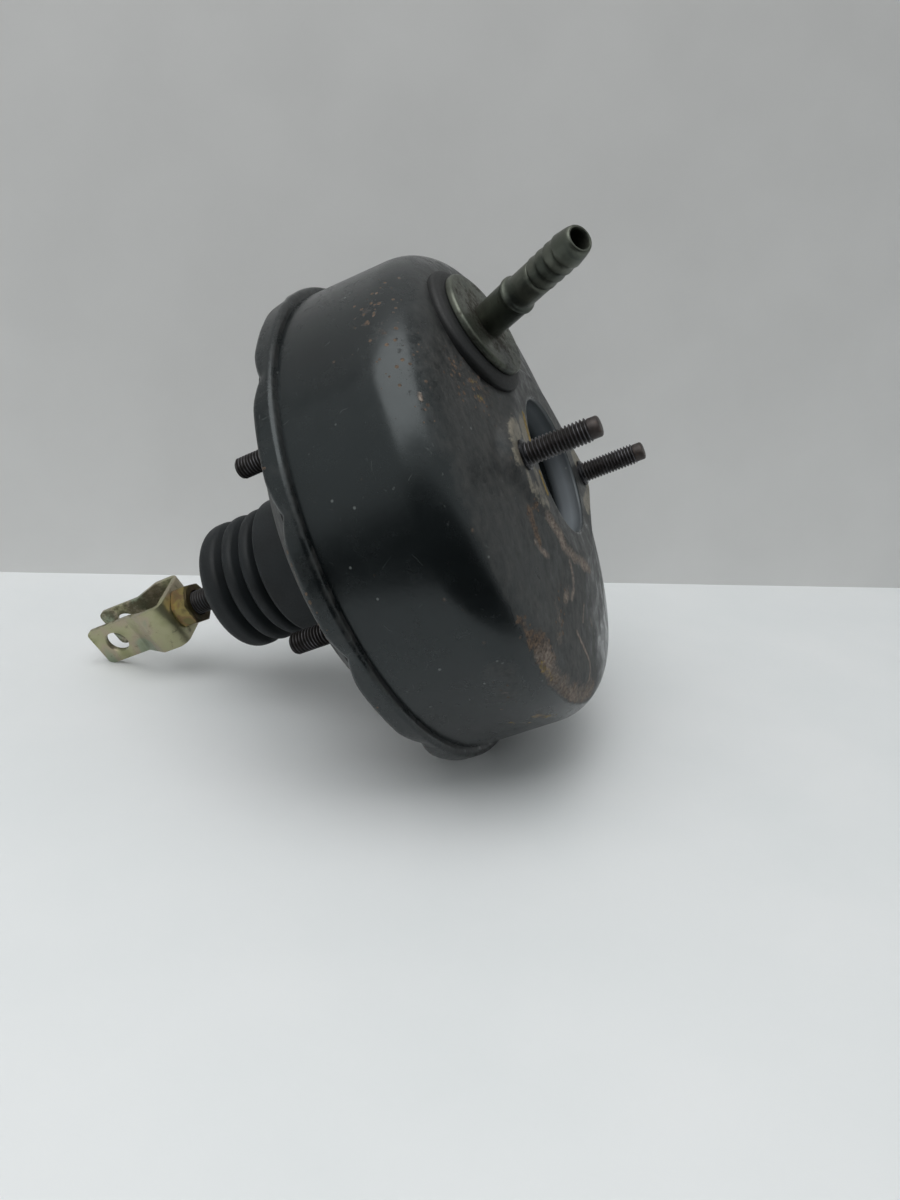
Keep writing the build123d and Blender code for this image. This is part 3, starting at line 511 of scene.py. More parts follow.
def front_shell_shape():
    """The front pressing: wall, shoulder, cone, pad with two ears, port boss and inward neck."""
    corners = [(lip_x, lip_radius - 0.5), (lip_x + 1, lip_radius - 1.2), (shoulder_x, wall_front_radius),
               (pad_x, cone_top_radius), (pad_x, opening_radius), (neck_x, opening_radius),
               (neck_x, seat_radius)]
    bends = [1, shoulder_bend, 0, 1.2, neck_bend]
    under = pad_x - sheet - 0.3
    inner_corners = [(lip_x, lip_radius - 0.5 - sheet), (wall_x, wall_radius - sheet),
                     (shoulder_x - sheet, wall_front_radius - sheet), (under, cone_top_radius),
                     (under, opening_radius + sheet), (neck_x - sheet, opening_radius + sheet),
                     (neck_x - sheet, seat_radius)]
    inner_bends = [bend + sheet if 2 < k else max(bend - sheet, 0) for k, bend in enumerate(bends)]
    # Points are closest where the pad, its ears and the boss are pressed up
    fine_gap, coarse_gap, inner_gap, cone_foot_x, cone_foot_radius = 0.62, 4.0, 7.0, 60.5, 80
    outer = spaced(rounded(corners, bends, 5), lambda p: fine_gap if (
        p[0] > cone_foot_x and opening_radius + 0.2 < p[1] < cone_foot_radius) else coarse_gap)
    inner = spaced(rounded(inner_corners, inner_bends, 15), lambda p: inner_gap)[::-1]
    port_angle = math.degrees(math.atan2(port_foot[2], port_foot[1])) % 360
    ears = [(angle, 17, 0.9) for angle in (0, 180, 360)]
    angles = around(448, [(port_angle, 24, 1.3)] + ears)
    points, faces = turned(outer + inner, angles)
    skin = points[:len(outer) * len(angles)]
    pressed = (np.hypot(skin[:, 1], skin[:, 2]) > opening_radius + 0.9) & (skin[:, 0] > 40)
    part = skin[pressed]

    # The pad: its top is flat, and its edge slopes off into the cone
    pad_slope, pad_round, pad_valley = 1.9, 2.4, 1.6
    edge = pad_edge(part[:, 1], part[:, 2])
    ramp = smooth_max(edge, 0 * edge, pad_round)
    part[:, 0] = np.minimum(smooth_max(part[:, 0], pad_x - pad_slope * ramp, pad_valley), pad_x)

    # The port boss: a flat round top with sloping sides, square to the port
    boss_slope, boss_round, boss_valley, boss_spread = 2.6, 1.4, 1.5, 6
    height = (part - port_foot) @ port_out
    aside = np.linalg.norm((part - port_foot) - height[:, None] * port_out, axis=1)
    top = boss_height - boss_slope * smooth_max(aside - boss_radius + 0.6, 0 * aside, boss_round)
    lifted = np.maximum(smooth_max(height, top, boss_valley) - height, 0)
    raised = np.where(aside < boss_radius + boss_spread, lifted, 0)
    raised = np.where(aside < boss_radius - 2, boss_height - height, raised)
    part += raised[:, None] * port_out
    skin[pressed] = part
    return points, faces


def strongest(points, *strokes):
    """The strongest of several strokes, each (strength, reach, line)."""
    return np.maximum.reduce([strength * near(points, line, reach) for strength, reach, line in strokes])


def front_slope(p):
    """1 on the dusty front face, 0 on the glossy wall; their edge is soft at the top and sinks lower down."""
    high = step(p[:, 2], -35, 10)
    edge = 80.4 + 3.8 * step(-p[:, 2], 42, 78) + 0.3 * high
    radius = np.hypot(p[:, 1], p[:, 2])
    outside_opening = step(radius, opening_radius + 0.2, opening_radius + 2)
    return step((edge - radius) / (0.7 + 4.8 * high), -1, 1) * outside_opening * (p[:, 0] > 58)


# Where the front face meets the wall, low down: paint is rubbed there
lower_edge = [(65.2, -51.1, -62.2), (64.8, -48.2, -65), (64.4, -44.4, -68.3), (63.8, -39.3, -72.2),
              (63.6, -31.6, -76), (63.1, -20.7, -80.3), (64.7, -5.2, -80.9)]


def front_rust(p):
    """Rust along the lower edge, below the left stud, under the port and in spots on the upper wall."""
    on_face = strongest(
        p, (0.40, 6, [(65.4, -62.2, -50.6), (64.9, -59.6, -54.8), (65.1, -55.6, -58.5)]),
        (0.50, 8, [(66, -54, -57), (66, -50, -61), (65.6, -47, -65)]),
        (0.34, 8, lower_edge),
        (0.46, 4.5, [(74.4, -43.7, -17.6), (73.8, -44, -22.4), (73.3, -42, -28)]),
        (0.42, 4, [(75.4, -39.4, -16.1)]),
        (0.26, 18, [(72.9, -48.5, 22.8), (70, -61.1, 26.2)]), (0.24, 10, [(72, -30, -47), (70, -36, -56)]))
    on_wall = strongest(
        p, (0.20, 16, [(54, -64.1, 59.4), (57.1, -75.5, 42.3), (61.5, -77.9, 32.1), (63.3, -80.2, 20.1)]),
        (0.20, 12, [(51.1, -72.9, 48.6), (50, -66, 57)]), (0.15, 10, [(52, -58, -66), (52, -46, -75)]),
        (0.42, 1.6, [(51.1, -72.9, 48.6), (52.2, -72.2, 49.2)]), (0.44, 1.5, [(57.1, -75.5, 42.3)]),
        (0.40, 2.4, [(54, -70.5, 51), (54.6, -69, 52.5)]))
    return np.maximum(on_face * front_slope(p), on_wall)


def front_bare(p):
    """Bare metal on the pad, round both studs and along the opening."""
    pale = strongest(
        p, (0.44, 13, [(pad_x, -40.3, 9.3), (pad_x, -44, 4.8), (pad_x, -46.4, 0.5)]),
        (0.34, 12, [(pad_x, -45.1, -5.4), (pad_x, -41.6, -9.5), (pad_x, -36.3, -13.3)]),
        (0.50, 8, [(pad_x, -30, 12), (pad_x, -32, 5)]),
        (0.39, 8, [(pad_x, -33, -4), (pad_x, -33, -10), (pad_x, -31, -15)]),
        (0.46, 9, [(pad_x, 37, 6), (pad_x, 45, 7), (pad_x, 50, 0), (pad_x, 44, -9), (pad_x, 30, -14)]))
    return np.where(p[:, 0] > pad_x - 1.2, pale, 0)


def front_ochre(p):
    """Ochre rust along the opening's edge, beside the port and on the lower wall."""
    return strongest(
        p, (0.75, 2.6, [(pad_x, -24, 16), (pad_x, -26.2, 10), (pad_x, -27.4, 2)]),
        (0.70, 2.4, [(pad_x, -27.6, -5), (pad_x, -26.6, -12)]), (0.29, 7, [(72, -52, 25), (72.5, -52, 19)]),
        (0.34, 4, [(51.7, -33.4, -81), (55.5, -24.1, -83.6)]),
        (0.33, 4, [(47.4, -27.6, -83.3), (42.9, -34.3, -80.9)]),
        (0.38, 4, [(64.6, -50, -65), (63.8, -42, -71)]))


def front_scuff(p):
    """Pale rubs: chips on the wall, and torn and scraped paint on the lower front face."""
    on_wall = strongest(
        p, (0.62, 2.0, [(63.3, -80.2, 20.1), (63.2, -80.6, 18.8)]), (0.52, 1.5, [(61.5, -77.9, 32.1)]),
        (0.50, 1.5, [(54, -64.1, 59.4)]), (0.46, 1.3, [(62, -81, 14)]), (0.48, 1.6, [(56.5, -73.5, 45.5)]),
        (0.40, 2.2, [(51.4, -52.6, -70.1)]), (0.38, 3, [(51.7, -33.4, -81), (55.5, -24.1, -83.6)]))
    on_face = strongest(
        p, (0.46, 5.6, [(76.8, -33, -19.8), (76.5, -29.4, -23.1), (76.7, -25, -26.6), (76.3, -22.3, -31)]),
        (0.48, 5.0, [(76.3, -22.3, -31), (76.5, -13.6, -34.7), (76.5, -1.5, -37.5), (76, 6.4, -39.4)]),
        (0.44, 3.4, [(73.2, -44.4, -27.9), (73.3, -41.9, -30.6), (73.8, -37.4, -32.5)]),
        (0.46, 3.0, [(75.8, -19.3, -35.8), (75, -17.9, -40.3), (74.1, -18.5, -44.6), (73.1, -21.8, -47.7)]),
        (0.36, 6.5, [(73.4, -24.8, -44.8), (72.5, -28, -47.9)]),
        (0.30, 8, [(70.9, -37.1, -50.2), (70.3, -34.6, -55.3), (69, -38.1, -59.7)]),
        (0.52, 2.0, [(70.9, -20.7, -59.1), (70.1, -15.4, -64.1), (69, -8.6, -70.6), (68.2, -9.9, -73.9),
                     (66.9, -11.9, -76.9)]),
        (0.48, 1.8, [(73.3, -8.8, -51), (71.9, -12.4, -56.6)]),
        (0.48, 1.8, [(72.3, -2.1, -56), (71.8, 0, -58.6)]),
        (0.44, 12, lower_edge))
    return np.maximum(on_wall, on_face * np.maximum(front_slope(p), p[:, 0] > 76))


def front_dust(p):
    """Dust on the front face, thin where the lower right stays glossy, and a smear on the wall."""
    wear = strongest(p, (0.16, 24, [(70, -61.1, 26.2), (73, -52, 20), (74, -48, -15)]),
                     (0.26, 30, [(72, -20, -50), (68, -30, -65), (66, -8, -76)]))
    smear = [(53.9, -61.8, -61.8), (55.5, -60, -63.1), (55, -53.7, -68.6), (51.4, -52.6, -70.1)]
    glossy = step(p[:, 1], -4, 16) * step(-p[:, 2], 30, 50) * step(np.hypot(p[:, 1], p[:, 2]), 58, 70)
    return np.maximum(front_slope(p) * (0.26 + wear) * (1 - 0.8 * glossy), 0.34 * near(p, smear, 7))


def front_painted_reflection(p):
    """Painted reflection inside the opening: a pale band near its mouth, strongest on the +y side, with
    painted shade next to the lip.
    """
    within = step(-np.hypot(p[:, 1], p[:, 2]), -opening_radius - 0.9, -opening_radius + 0.1)
    inside = within * (p[:, 0] > neck_x + 1)
    lit = step(p[:, 0], 67.5, 71.5) * (1 - 0.6 * step(p[:, 0], 74.5, 76.5))
    return inside * lit * (0.4 + 0.6 * step(p[:, 1], -12, 14))


# Inside the opening a pale band is painted in as a reflection, with painted shade by the lip
piece("front_shell_pressing", front_shell_shape(), shell_paint, "housing", ["front_shell"], "shell_paint", 40,
      {"rust": front_rust, "bare": front_bare, "ochre": front_ochre, "scuff": front_scuff, "dust": front_dust,
       "painted_reflection": front_painted_reflection})


def crimp_tree():
    """Presses evenly spaced crimps into a rolled rim: each moves the rim's rear edge forwards and in."""
    tree, given = new_tree("crimped_rim", ("Count", "Depth", "Half width", "Rim radius", "Rim rear"))
    place = put(tree, "SeparateXYZ", [put(tree, "GeometryNodeInputPosition")], out=None).outputs
    angle = put(tree, "Math", [place[2], place[1]], operation="ARCTAN2")
    pitch = put(tree, "Math", [2 * math.pi, given["Count"]], operation="DIVIDE")
    turn = put(tree, "Math", [angle, pitch], operation="DIVIDE")
    nearest = put(tree, "Math", [turn], operation="ROUND")
    off = put(tree, "Math", [turn, nearest], operation="SUBTRACT")
    for factor in (pitch, given["Rim radius"]):
        off = put(tree, "Math", [off, factor], operation="MULTIPLY")
    off = put(tree, "Math", [off], operation="ABSOLUTE")
    centred = put(tree, "MapRange", [off, 0.0, given["Half width"], 1.0, 0.0])
    centred = put(tree, "Math", [centred, crimp_sharpness], operation="POWER")
    squared = put(tree, "Math", [place[1], place[1]], operation="MULTIPLY")
    squared = put(tree, "Math", [place[2], place[2], squared], operation="MULTIPLY_ADD")
    radius = put(tree, "Math", [squared], operation="SQRT")
    inner, outer = (put(tree, "Math", [given["Rim radius"], inset * MM], operation="SUBTRACT")
                    for inset in crimp_insets)
    rimmed = put(tree, "MapRange", [radius, inner, outer], interpolation_type="SMOOTHSTEP")
    front = put(tree, "Math", [given["Rim rear"], crimp_length * MM], operation="ADD")
    rearmost = put(tree, "MapRange", [place[0], given["Rim rear"], front, 1.0, 0.0],
                   interpolation_type="SMOOTHSTEP")
    push = centred
    for factor in (rimmed, rearmost, given["Depth"]):
        push = put(tree, "Math", [push, factor], operation="MULTIPLY")
    inwards = put(tree, "Math", [push, radius], operation="DIVIDE")
    inwards = put(tree, "Math", [inwards, -crimp_lean], operation="MULTIPLY")
    y, z = (put(tree, "Math", [place[k], inwards], operation="MULTIPLY") for k in (1, 2))
    offset = put(tree, "CombineXYZ", [push, y, z])
    moved = put(tree, "GeometryNodeSetPosition", {"Geometry": given["Geometry"], "Offset": offset})
    return end_tree(tree, moved, given["Finish"])


def rear_shell_mesh():
    """The rear pressing before its crimps: rolled rim, dish, firewall face and hub."""
    corners = [(rim_front, rim_radius - 3.3), (rim_front, rim_radius), (rim_rear, rim_radius),
               (rim_rear, rim_radius - 8), (0, dish_radius), (0, hub_radius), (hub_rear, hub_radius),
               (hub_rear, hub_mouth)]
    loop = walled(corners, [1.9, 2, 4, 4, 1.8, 1.8], sheet, 10)
    rim_foot, rim_gap, dish_gap = 80, 1.2, 5.0
    loop = spaced(loop, lambda p: rim_gap if p[1] > rim_foot else dish_gap)
    return new_mesh("rear_shell_blank", *turned(loop, around(432)))


def rim_crimps(p):
    """1 at the middle of each crimp, falling off along the rim."""
    pitch = 2 * math.pi / crimp_count
    turn = np.arctan2(p[:, 2], p[:, 1]) / pitch
    return np.exp(-(np.abs(turn - np.round(turn)) * pitch * rim_radius / 6) ** 2)


def rear_bare(p):
    """Steel showing on the rim's rear corner, most on the crimps."""
    radius = np.hypot(p[:, 1], p[:, 2])
    corner = step(radius, 87, 90.5) * step(-p[:, 0], -14.6, -12.4)
    return corner * (0.22 + 0.30 * rim_crimps(p))


def rear_rust(p):
    """Rust in broad patches on the dish, and along the rim's corner."""
    radius = np.hypot(p[:, 1], p[:, 2])
    dish = step(-p[:, 0], -11.8, -6) * step(radius, 27, 32) * (p[:, 0] < 13)
    corner = step(radius, 82, 88) * step(-p[:, 0], -16, -12.6)
    patches = step(np.sin(p[:, 1] * 0.055 + 0.7) * np.cos(p[:, 2] * 0.065 - 0.5), -0.1, 0.9)
    return (0.05 + 0.17 * patches) * dish + 0.20 * corner


def rear_dust(p):
    """Dust on the dish and a little on the rim; the rim's front face is made a little lighter still."""
    front_face = step(p[:, 0], 18.6, 19.6) * step(np.hypot(p[:, 1], p[:, 2]), 87.5, 88.5)
    return np.where(p[:, 0] < 13, 0.36, 0.06 + 0.10 * front_face)


grown("rear_shell_pressing", rear_shell_mesh(), crimp_tree(),
      {"Count": float(crimp_count), "Depth": crimp_depth * MM, "Half width": crimp_half_width * MM,
       "Rim radius": rim_radius * MM, "Rim rear": rim_rear * MM, "Finish": shell_paint},
      "housing", nodes=["rear_shell"], slot="shell_paint", crease=40,
      marks={"bare": rear_bare, "rust": rear_rust, "dust": rear_dust})


# Studs and push rod
def thread_tree():
    """A real helical thread, right-handed, grown from each point of the base mesh."""
    tree, given = new_tree(
        "rolled_thread", ("Length", "Pitch", "Crest radius", "Root radius", "Heading", "Rows per turn"))
    turns = put(tree, "Math", [given["Length"], given["Pitch"]], operation="DIVIDE")
    rows = put(tree, "Math", [turns, given["Rows per turn"]], operation="MULTIPLY")
    grid = put(tree, "GeometryNodeMeshGrid", {
        "Size X": given["Length"], "Size Y": 2 * math.pi, "Vertices X": rows, "Vertices Y": thread_sides + 1})
    place = put(tree, "SeparateXYZ", [put(tree, "GeometryNodeInputPosition")], out=None).outputs
    along = put(tree, "Math", [given["Length"], 0.5, place[0]], operation="MULTIPLY_ADD")
    angle = place[1]
    lead = put(tree, "Math", [along, given["Pitch"]], operation="DIVIDE")
    wound = put(tree, "Math", [angle, -0.5 / math.pi, lead], operation="MULTIPLY_ADD")
    part = put(tree, "Math", [wound], operation="FRACT")
    flank = put(tree, "Math", [part, 2.0, -1.0], operation="MULTIPLY_ADD")
    flank = put(tree, "Math", [flank], operation="ABSOLUTE")
    crest = put(tree, "MapRange", [flank, flat_share, 1 - flat_share])
    radius = put(tree, "Mix", {0: crest, 2: given["Root radius"], 3: given["Crest radius"]})
    left = put(tree, "Math", [given["Length"], along], operation="SUBTRACT")
    end = put(tree, "Math", [left, given["Root radius"]], operation="ADD")
    radius = put(tree, "Math", [radius, end], operation="MINIMUM")
    from_end = put(tree, "Math", [along, left], operation="MINIMUM")
    # The first and last rows shrink to the axis, which closes the ends
    between = put(tree, "Math", [from_end, 0.005 * MM], operation="GREATER_THAN")
    radius = put(tree, "Math", [radius, between], operation="MULTIPLY")
    y, z = (put(tree, "Math", [radius, put(tree, "Math", [angle], operation=name)],
                operation="MULTIPLY") for name in ("COSINE", "SINE"))
    wrapped = put(tree, "CombineXYZ", [along, y, z])
    marked = put(tree, "GeometryNodeStoreNamedAttribute", {
        "Geometry": grid, "Name": "crest", "Value": crest}, data_type="FLOAT", domain="POINT")
    rolled = put(tree, "GeometryNodeSetPosition", {"Geometry": marked, "Position": wrapped})
    flipped = put(tree, "GeometryNodeFlipFaces", {0: rolled})
    closed = put(tree, "GeometryNodeMergeByDistance", {"Geometry": flipped, "Distance": 1e-6})
    heading = put(tree, "FunctionNodeAxisAngleToRotation", {"Axis": (0, 0, 1), "Angle": given["Heading"]})
    set_out = put(tree, "GeometryNodeInstanceOnPoints", {
        "Points": given["Geometry"], "Instance": closed, "Rotation": heading})
    return end_tree(tree, set_out, given["Finish"])


def stud_end(foot, outwards, length, point_length):
    """The core of one stud: a root cylinder inside the thread, then its point."""
    tip = foot[0] + outwards * length
    point = tip - outwards * point_length
    core = stud_root - 0.1
    radius = stud_point_radius if point_length > 1 else stud_root - 0.5
    run = [(foot[0], 0), (foot[0], core), (point, core), (point + outwards * 0.15, radius),
           (tip - outwards * 0.7, radius), (tip - outwards * 0.25, radius - 0.3), (tip, radius - 0.9),
           (tip, 0)]
    return turned(run, around(40), False, (0, foot[1], foot[2]))


def stud_collar(foot, outwards):
    """The bright ring where one stud meets the shell."""
    profile = [(0, 0), (0, 5.2), (0.7, 5.2), (1.2, 4.75), (1.35, 4.1), (1.9, 3.7), (1.9, 0)]
    run = [(foot[0] + outwards * high, radius) for high, radius in profile]
    return turned(run, around(40), False, (0, foot[1], foot[2]))


def thread(name, feet, length, pitch, crest, root, outwards, surface, body, node, slot):
    """Threads of one size, grown from their feet."""
    grown(name, new_mesh(name + "_feet", feet), rolled_thread,
          {"Length": length * MM, "Pitch": pitch * MM, "Crest radius": crest * MM, "Root radius": root * MM,
           "Heading": 0.0 if outwards > 0 else math.pi, "Rows per turn": thread_rows, "Finish": surface},
          body, nodes=[node], slot=slot, crease=75)


rolled_thread = thread_tree()
front_feet = [(pad_x, side * ear_reach, 0) for side in (-1, 1)]
rear_feet = [(0, side * rear_stud_y, up * rear_stud_z) for side in (-1, 1) for up in (-1, 1)]
for name, feet, outwards, length, point_length, node in (
        ("master_cylinder_stud", front_feet, 1, front_stud_length, stud_point, "master_cylinder_studs"),
        ("firewall_stud", rear_feet, -1, rear_stud_length, rear_stud_point, "firewall_studs")):
    thread(name + "_threads", feet, length - point_length + thread_overlap, stud_pitch, stud_radius,
           stud_root, outwards, stud_thread_steel, "housing", node, "stud_steel")
    piece(name + "_points", joined(*[stud_end(foot, outwards, length, point_length) for foot in feet]),
          stud_point_steel, "housing", [node], "stud_steel")
    piece(name + "_collars", joined(*[stud_collar(foot, outwards) for foot in feet]),
          stud_collar_steel, "housing", [node], "stud_steel")


def shank_shape():
    """The push rod from its ball to the end of its thread, whose core it is."""
    arc = [k * math.pi / 14 for k in range(12)]
    ball = [(ball_centre + ball_radius * math.cos(a), ball_radius * math.sin(a)) for a in arc]
    core = [(shank_front, shank_radius), (rod_thread_front, shank_radius), (rod_thread_front - 0.6, rod_root),
            (rod_thread_rear + 0.5, rod_root), (rod_thread_rear, rod_root - 0.6), (rod_thread_rear, 0)]
    return turned(ball + core, around(48), False)


thread("push_rod_thread", [(rod_thread_front, 0, 0)], rod_thread_front - rod_thread_rear, rod_pitch,
       rod_radius, rod_root, -1, rod_thread_steel, "rod", "input_rod", "rod_steel")
piece("push_rod_shank", shank_shape(), rod_steel, "rod", ["input_rod"], "rod_steel")


# Lock nut and clevis
def nut_shape():
    """A hexagon nut with its corners chamfered at both faces and a plain bore the thread fills."""
    count, bore, corner_play = 96, rod_radius + 0.5, 0.12
    half = nut_flats / 2
    corner = half / math.cos(math.radians(30)) - corner_play
    angles = np.arange(count) * 2 * math.pi / count
    hexagon = half / np.cos((angles + math.pi / 6) % (math.pi / 3) - math.pi / 6)
    steps = [0, 0.25, 0.5, 0.75, 1.0, 1.3]
    rings = [(0, np.full(count, bore))]
    for a in steps + [nut_thickness - s for s in reversed(steps)]:
        cone = half - 0.15 + min(a, nut_thickness - a) * math.tan(math.radians(60))
        rings.append((a, np.minimum(np.minimum(hexagon, corner), cone)))
    rings.append((nut_thickness, np.full(count, bore)))
    turn = angles + math.radians(clevis_turn)
    points = [np.stack([np.full(count, nut_rear + a), ring * np.cos(turn), ring * np.sin(turn)], 1)
              for a, ring in rings]
    return np.concatenate(points), ring_faces(len(rings), count)


def nut_grease(p):
    """Dirt on the nut's front face, towards the boot."""
    front = nut_rear + nut_thickness
    return 0.4 * step(p[:, 0], front - 1.6, front - 0.2)


def clevis_grime_and_shade(p):
    """Dirt on the clevis's web round the rod, and painted shade on its inner faces, inside the U."""
    turn = math.radians(clevis_turn)
    aside = np.abs(p[:, 1] * math.cos(turn) + p[:, 2] * math.sin(turn))
    # Inside the U the faces are darkened as painted shade
    inner = (aside < 6.7 + 4.5 * np.clip((p[:, 0] + 114) / 9, 0, 1)) & (p[:, 0] < nut_rear - 1.5)
    round_rod = step(p[:, 0], -120, -104) * step(-np.hypot(p[:, 1], p[:, 2]), -11.5, -8.5)
    return 0.02 + 0.20 * inner + 0.17 * round_rod


piece("lock_nut_hexagon", nut_shape(), nut_zinc, "rod", ["lock_nut"], "gold_zinc", 24, {"grime_and_shade": nut_grease})
# The clevis keeps its solid's shape, with every cut edge of the sheet slightly rounded
# The clevis's mark darkens its inner faces as painted shade, and its web round the rod with dirt
placed(node_copy("clevis_fork", "clevis", clevis_zinc, clevis_edge), "rod", ["clevis"], "yellow_zinc", 30,
       {"grime_and_shade": clevis_grime_and_shade})


# Boot
def bellows_shape():
    """Round lobes with valleys between them, and an end wall with a hole for the rod to swing in."""
    corners, bends = [(boot_cuff_rear + 0.5, valley_radius)], []
    for lobe in range(lobe_count):
        front = boot_cuff_rear - lobe * lobe_pitch
        rear = front - lobe_pitch
        corners += [(front - 0.6, valley_radius), (front - 2.9, lobe_radius)]
        bends += [0.6, 2.6]
        if lobe < lobe_count - 1:
            corners += [(rear + 0.8, lobe_radius), (rear + 0.4, valley_radius)]
            bends += [2.4, 0.5]
    corners += [(boot_rear, lobe_radius), (boot_rear, swing_hole)]
    bends += [4.6]
    return turned(spaced(walled(corners, bends, boot_wall, 10), lambda p: 2.5), around(144))


def cuff_shape():
    """The smooth cuff that grips the hub."""
    rear = boot_cuff_rear + 0.4
    corners = [(boot_front, cuff_radius), (rear, cuff_radius), (rear, valley_radius + 0.3)]
    return turned(spaced(walled(corners, [2.2], boot_wall, 10), lambda p: 3.0), around(144))


def collar_shape():
    """The collar that grips the rod and swings with it, over the hole in the boot's end wall."""
    front = boot_rear - collar_gap
    rear = front - collar_length
    corners = [(front, rod_hole), (front, collar_radius), (rear, collar_radius - 0.4), (rear, rod_hole)]
    return turned(rounded(corners, [0.6, 1.0], 15), around(96))


piece("boot_collar", collar_shape(), boot_rubber, "rod", ["dust_boot"], "moulded_rubber", 50)
piece("boot_cuff", cuff_shape(), boot_rubber, "housing", ["dust_boot"], "moulded_rubber", 50)
bellows = piece("boot_bellows", bellows_shape(), boot_rubber, "housing", ["dust_boot"], "moulded_rubber", 50)
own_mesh(bellows)


# Hose nipple
def flange_shape():
    """The round flange with its rolled top edge."""
    low, bore = boss_height + seal_thickness, 4.5
    top = low + flange_thickness
    corners = [(low, bore), (low, flange_radius), (top, flange_radius), (top, bore)]
    return turned(spaced(rounded(corners, [0.5, 1.1], 15), lambda p: 4.0), around(128), True,
                  port_foot, port_out, (0, -1, 0))


def tube_shape():
    """The leaning tube: plain shank, bead, neck and small barbs, open at its tip, its foot in the flange."""
    sunk, shank, neck, barb_top, barb_foot = -3.0, tube_radius - 0.25, 5.45, 5.6, 5.15
    bead, barb_pitch, barb_count, last_barb = 16.6, 4.1, 4, 42.6
    barbs = [last_barb - k * barb_pitch for k in reversed(range(barb_count))]
    run = [(sunk, shank), (bead, shank), (bead + 0.4, shank + 0.3), (bead + 0.8, shank + 0.45),
           (bead + 1.4, shank + 0.4), (bead + 1.8, shank + 0.1), (bead + 2.2, neck + 0.25),
           (bead + 3.0, neck), (barbs[0] - 0.6, neck - 0.05)]
    for barb in barbs:
        run += [(barb - 0.35, barb_foot), (barb, barb_foot + 0.1), (barb + 0.25, barb_top - 0.1),
                (barb + 0.6, barb_top), (barb + 1.3, barb_top - 0.05), (barb + 2.6, barb_top - 0.25)]
    lip = [(3.0, 5.1), (1.2, 4.75), (0.5, 4.5), (0.1, 4.2), (0, 3.9), (0.1, 3.6), (0.5, 3.4),
           (1.2, tube_bore)]
    run += [(tube_length - back, radius) for back, radius in lip]
    run += [(tube_length - 14, tube_bore), (tube_length - 14, 0.5), (sunk, 0.5)]
    return turned(spaced(np.array(run), lambda p: 1.5), around(72), True, tube_foot, tube_axis, (0, 0, 1))


def grommet_shape():
    """The rubber seal: a lip under the flange that swells into a skirt over the boss."""
    inside = boss_height + 0.02
    corners = [(-1.8, boss_radius + 2.4), (1.2, boss_radius + 2.7), (boss_height + 0.6, boss_radius + 0.4),
               (boss_height + seal_thickness - 0.02, seal_radius + 0.2), (inside, seal_radius - 3),
               (inside, boss_radius - 1.6), (-1.4, boss_radius - 0.6)]
    return turned(spaced(rounded(corners, [1.6, 1.4, 0.3, 0, 0.3], 12), lambda p: 2.0), around(128), True,
                  port_foot, port_out, (0, -1, 0))


piece("port_grommet", grommet_shape(), seal_rubber, "housing", ["port_seal"], "moulded_rubber", 60)
piece("nipple_flange", flange_shape(), nipple_zinc, "housing", ["vacuum_nipple"], "olive_zinc", 45,
      {"grime_and_shade": lambda p: 0.07 + 0.26 * near(p, [tube_foot], 17)})
piece("nipple_tube", tube_shape(), nipple_zinc, "housing", ["vacuum_nipple"], "olive_zinc", 45,
      {"grime_and_shade": lambda p: 0.10 * near(p, [tube_foot], 12)})


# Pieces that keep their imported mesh, mostly inside
pressed_steel = finish("plain_pressed_steel", "#6d6f70", "#8d9092", 0.42, 0.9, 18, 0.6, 0.02,
                       ("#5a4638", 0.05, 6))
turned_steel = finish("turned_bright_steel", "#85888b", "#a9acae", 0.28, 1.0, 10, 0.4, 0.01)
spring_steel = finish("oil_hardened_spring_wire", "#2f3134", "#4c4f53", 0.4, 0.9, 6, 0.4, 0.02)
phenolic = finish("moulded_phenolic", "#2b1d17", "#3d2a20", 0.45, 0.0, 14, 0.5, 0.03)
nylon = finish("moulded_bearing_nylon", "#d8d4c6", "#e6e2d6", 0.5, 0.0, 12, 0.5, 0.02)
# The pores of the foam and the fibres of the felt are coarser than real ones, so that they show
foam = finish("open_cell_filter_foam", "#3a3d40", "#595d61", 0.9, 0.0, 3, 0.8, 0.3)
felt = finish("needled_wool_felt", "#8d8676", "#a59e8d", 0.95, 0.0, 2.5, 0.5, 0.25)
plated_steel = finish("zinc_plated_steel", "#9aa0a3", "#b9bec1", 0.35, 0.95, 9, 0.5, 0.01)
carried = {
    pressed_steel: ("front_reinforcement", "rear_reinforcement", "diaphragm_plate", "valve_retainer",
                    "output_retainer"),
    turned_steel: ("output_rod", "valve_plunger"),
    plated_steel: ("output_screw", "stop_key"),
    spring_steel: ("poppet_spring", "input_spring"),
    phenolic: ("power_piston",),
    nylon: ("rear_bearing", "filter_keeper"),
    foam: ("air_filter",),
    felt: ("silencer_felt",),
    seal_rubber: ("front_seal", "diaphragm", "poppet_valve", "reaction_disc", "rear_seal"),
}
for material, names in carried.items():
    for name in names:
        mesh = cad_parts[name].data
        mesh.materials.clear()
        mesh.materials.append(material)

# The return spring is a copy of its node, with a mesh of its own; the real spring shortens as the piston
# moves
coil = placed(node_copy("return_spring_coil", "return_spring", spring_steel), "housing", ["return_spring"],
              "spring_wire", 40)
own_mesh(coil)

# Stage, light and camera
floor_height = -74.08 * MM
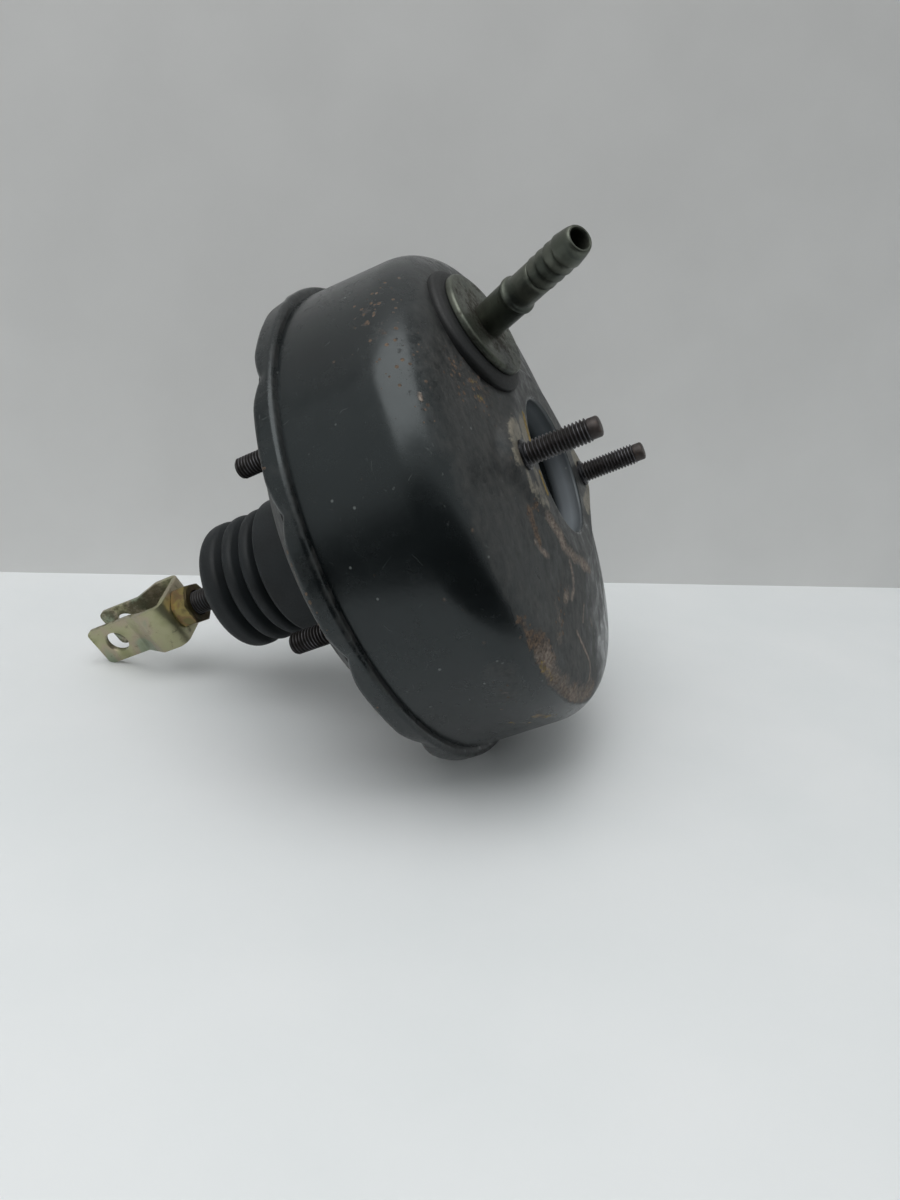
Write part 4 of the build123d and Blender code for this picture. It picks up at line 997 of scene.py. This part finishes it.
# The booster rests on its rim and on one ear of the clevis; the floor is the plane through both
floor_up = Vector((0.4823, -0.2398, 0.8426)).normalized()
right = Vector((0.88586, 0.35073, -0.30371))
down = Vector((-0.30509, -0.05281, -0.95086))
ahead = Vector((-0.34953, 0.93499, 0.06022))
eye = Vector((149.4, -338.2, -55.3)) * MM
picture_focus, picture_width, picture_height = 958.1, 900, 1200
foot_left_pixel, foot_right_pixel = (0, 572), (900, 588)     # the wall's foot at both sides of the picture


def on_floor(x, y):
    """The floor point at a place in the picture."""
    ray = ahead * picture_focus + right * (x - picture_width / 2) + down * (y - picture_height / 2)
    return eye + ray * ((floor_height - eye @ floor_up) / (ray @ floor_up))


def panel(name, corner, along, up, material):
    """A flat part of the room, seen from the room's side only, so that views from behind aren't blocked."""
    mesh = bpy.data.meshes.new(name)
    mesh.from_pydata([corner, corner + along, corner + along + up, corner + up], [], [(0, 1, 2, 3)])
    tree = material.node_tree
    painted = next(node for node in tree.nodes if node.type == "BSDF_PRINCIPLED").outputs[0]
    behind = put(tree, "NewGeometry", out="Backfacing")
    seen = put(tree, "MixShader", {0: behind, 1: painted, 2: put(tree, "BsdfTransparent")})
    tree.links.new(seen, tree.nodes["Material Output"].inputs["Surface"])
    mesh.materials.append(material)
    linked(name, mesh)


left_foot, right_foot = on_floor(*foot_left_pixel), on_floor(*foot_right_pixel)
base_line = (right_foot - left_foot).normalized()
into_room = floor_up.cross(base_line)
if into_room @ (eye - left_foot) < 0:
    into_room.negate()
middle = (left_foot + right_foot) / 2
floor_paint = finish("pale_floor_paint", "#dfe2e3", "#e3e5e6", 0.5, 0.0, 60, 1.2, 0.02)
wall_paint = finish("pale_wall_paint", "#d6d6d5", "#dbdbda", 0.6, 0.0, 60, 1.2, 0.02)
floor_reach, wall_height, room_width = 402 * MM, 2.0, 4.0
across = base_line * room_width
panel("floor", middle + across / 2, -across, into_room * floor_reach, floor_paint)
panel("wall", middle - across / 2, across, floor_up * wall_height, wall_paint)

# One large soft light overhead, the size of a window, 1.3 by 1 m, aimed at the shell
window = bpy.data.lights.new("overhead_window", "AREA")
window.shape, window.size, window.size_y, window.energy = "RECTANGLE", 1.3, 1.0, 9.5
to_window = floor_up * 1.1 + into_room * 0.35 - base_line * 0.25
lamp = linked("overhead_window", window)
lamp.location = Vector((20, 0, 0)) * MM + to_window
lamp.rotation_euler = (-to_window).to_track_quat("-Z", "Y").to_euler()

# The room: pale all round, with a dark side low behind the camera, as the photographer's side has
world = bpy.data.worlds.new("room")
world.use_nodes = True
room = world.node_tree
room.nodes.clear()
pale_level, dark_level, seen_level = 0.72, 0.025, 0.62
dark_from, dark_to = 0.42, 0.62     # where the room turns dark, as the cosine towards the dark side
direction = put(room, "TexCoord", out="Generated")
dark_side = tuple(into_room * 0.993 + base_line * 0.12 - floor_up * 0.55)
towards = put(room, "VectorMath", [direction, dark_side], out="Value", operation="DOT_PRODUCT")
level = put(room, "MapRange", [towards, dark_from, dark_to, pale_level, dark_level],
            interpolation_type="SMOOTHSTEP")
seen = put(room, "LightPath", out="Is Camera Ray")
level = put(room, "Mix", {0: seen, 2: level, 3: seen_level})
backdrop = put(room, "Background", {"Color": tone("#eef2f2"), "Strength": level})
put(room, "OutputWorld", {0: backdrop})
bpy.context.scene.world = world

camera = bpy.data.cameras.new("camera")
camera.sensor_fit = "VERTICAL"
camera.sensor_height = 36
camera.lens = picture_focus / picture_height * camera.sensor_height
camera.clip_start = 0.01
viewer = linked("camera", camera)
viewer.matrix_world = Matrix.Translation(eye) @ Matrix((right, -down, -ahead)).transposed().to_4x4()
bpy.context.scene.camera = viewer
bpy.context.scene.view_settings.view_transform = "Standard"

bpy.context.view_layer.update()
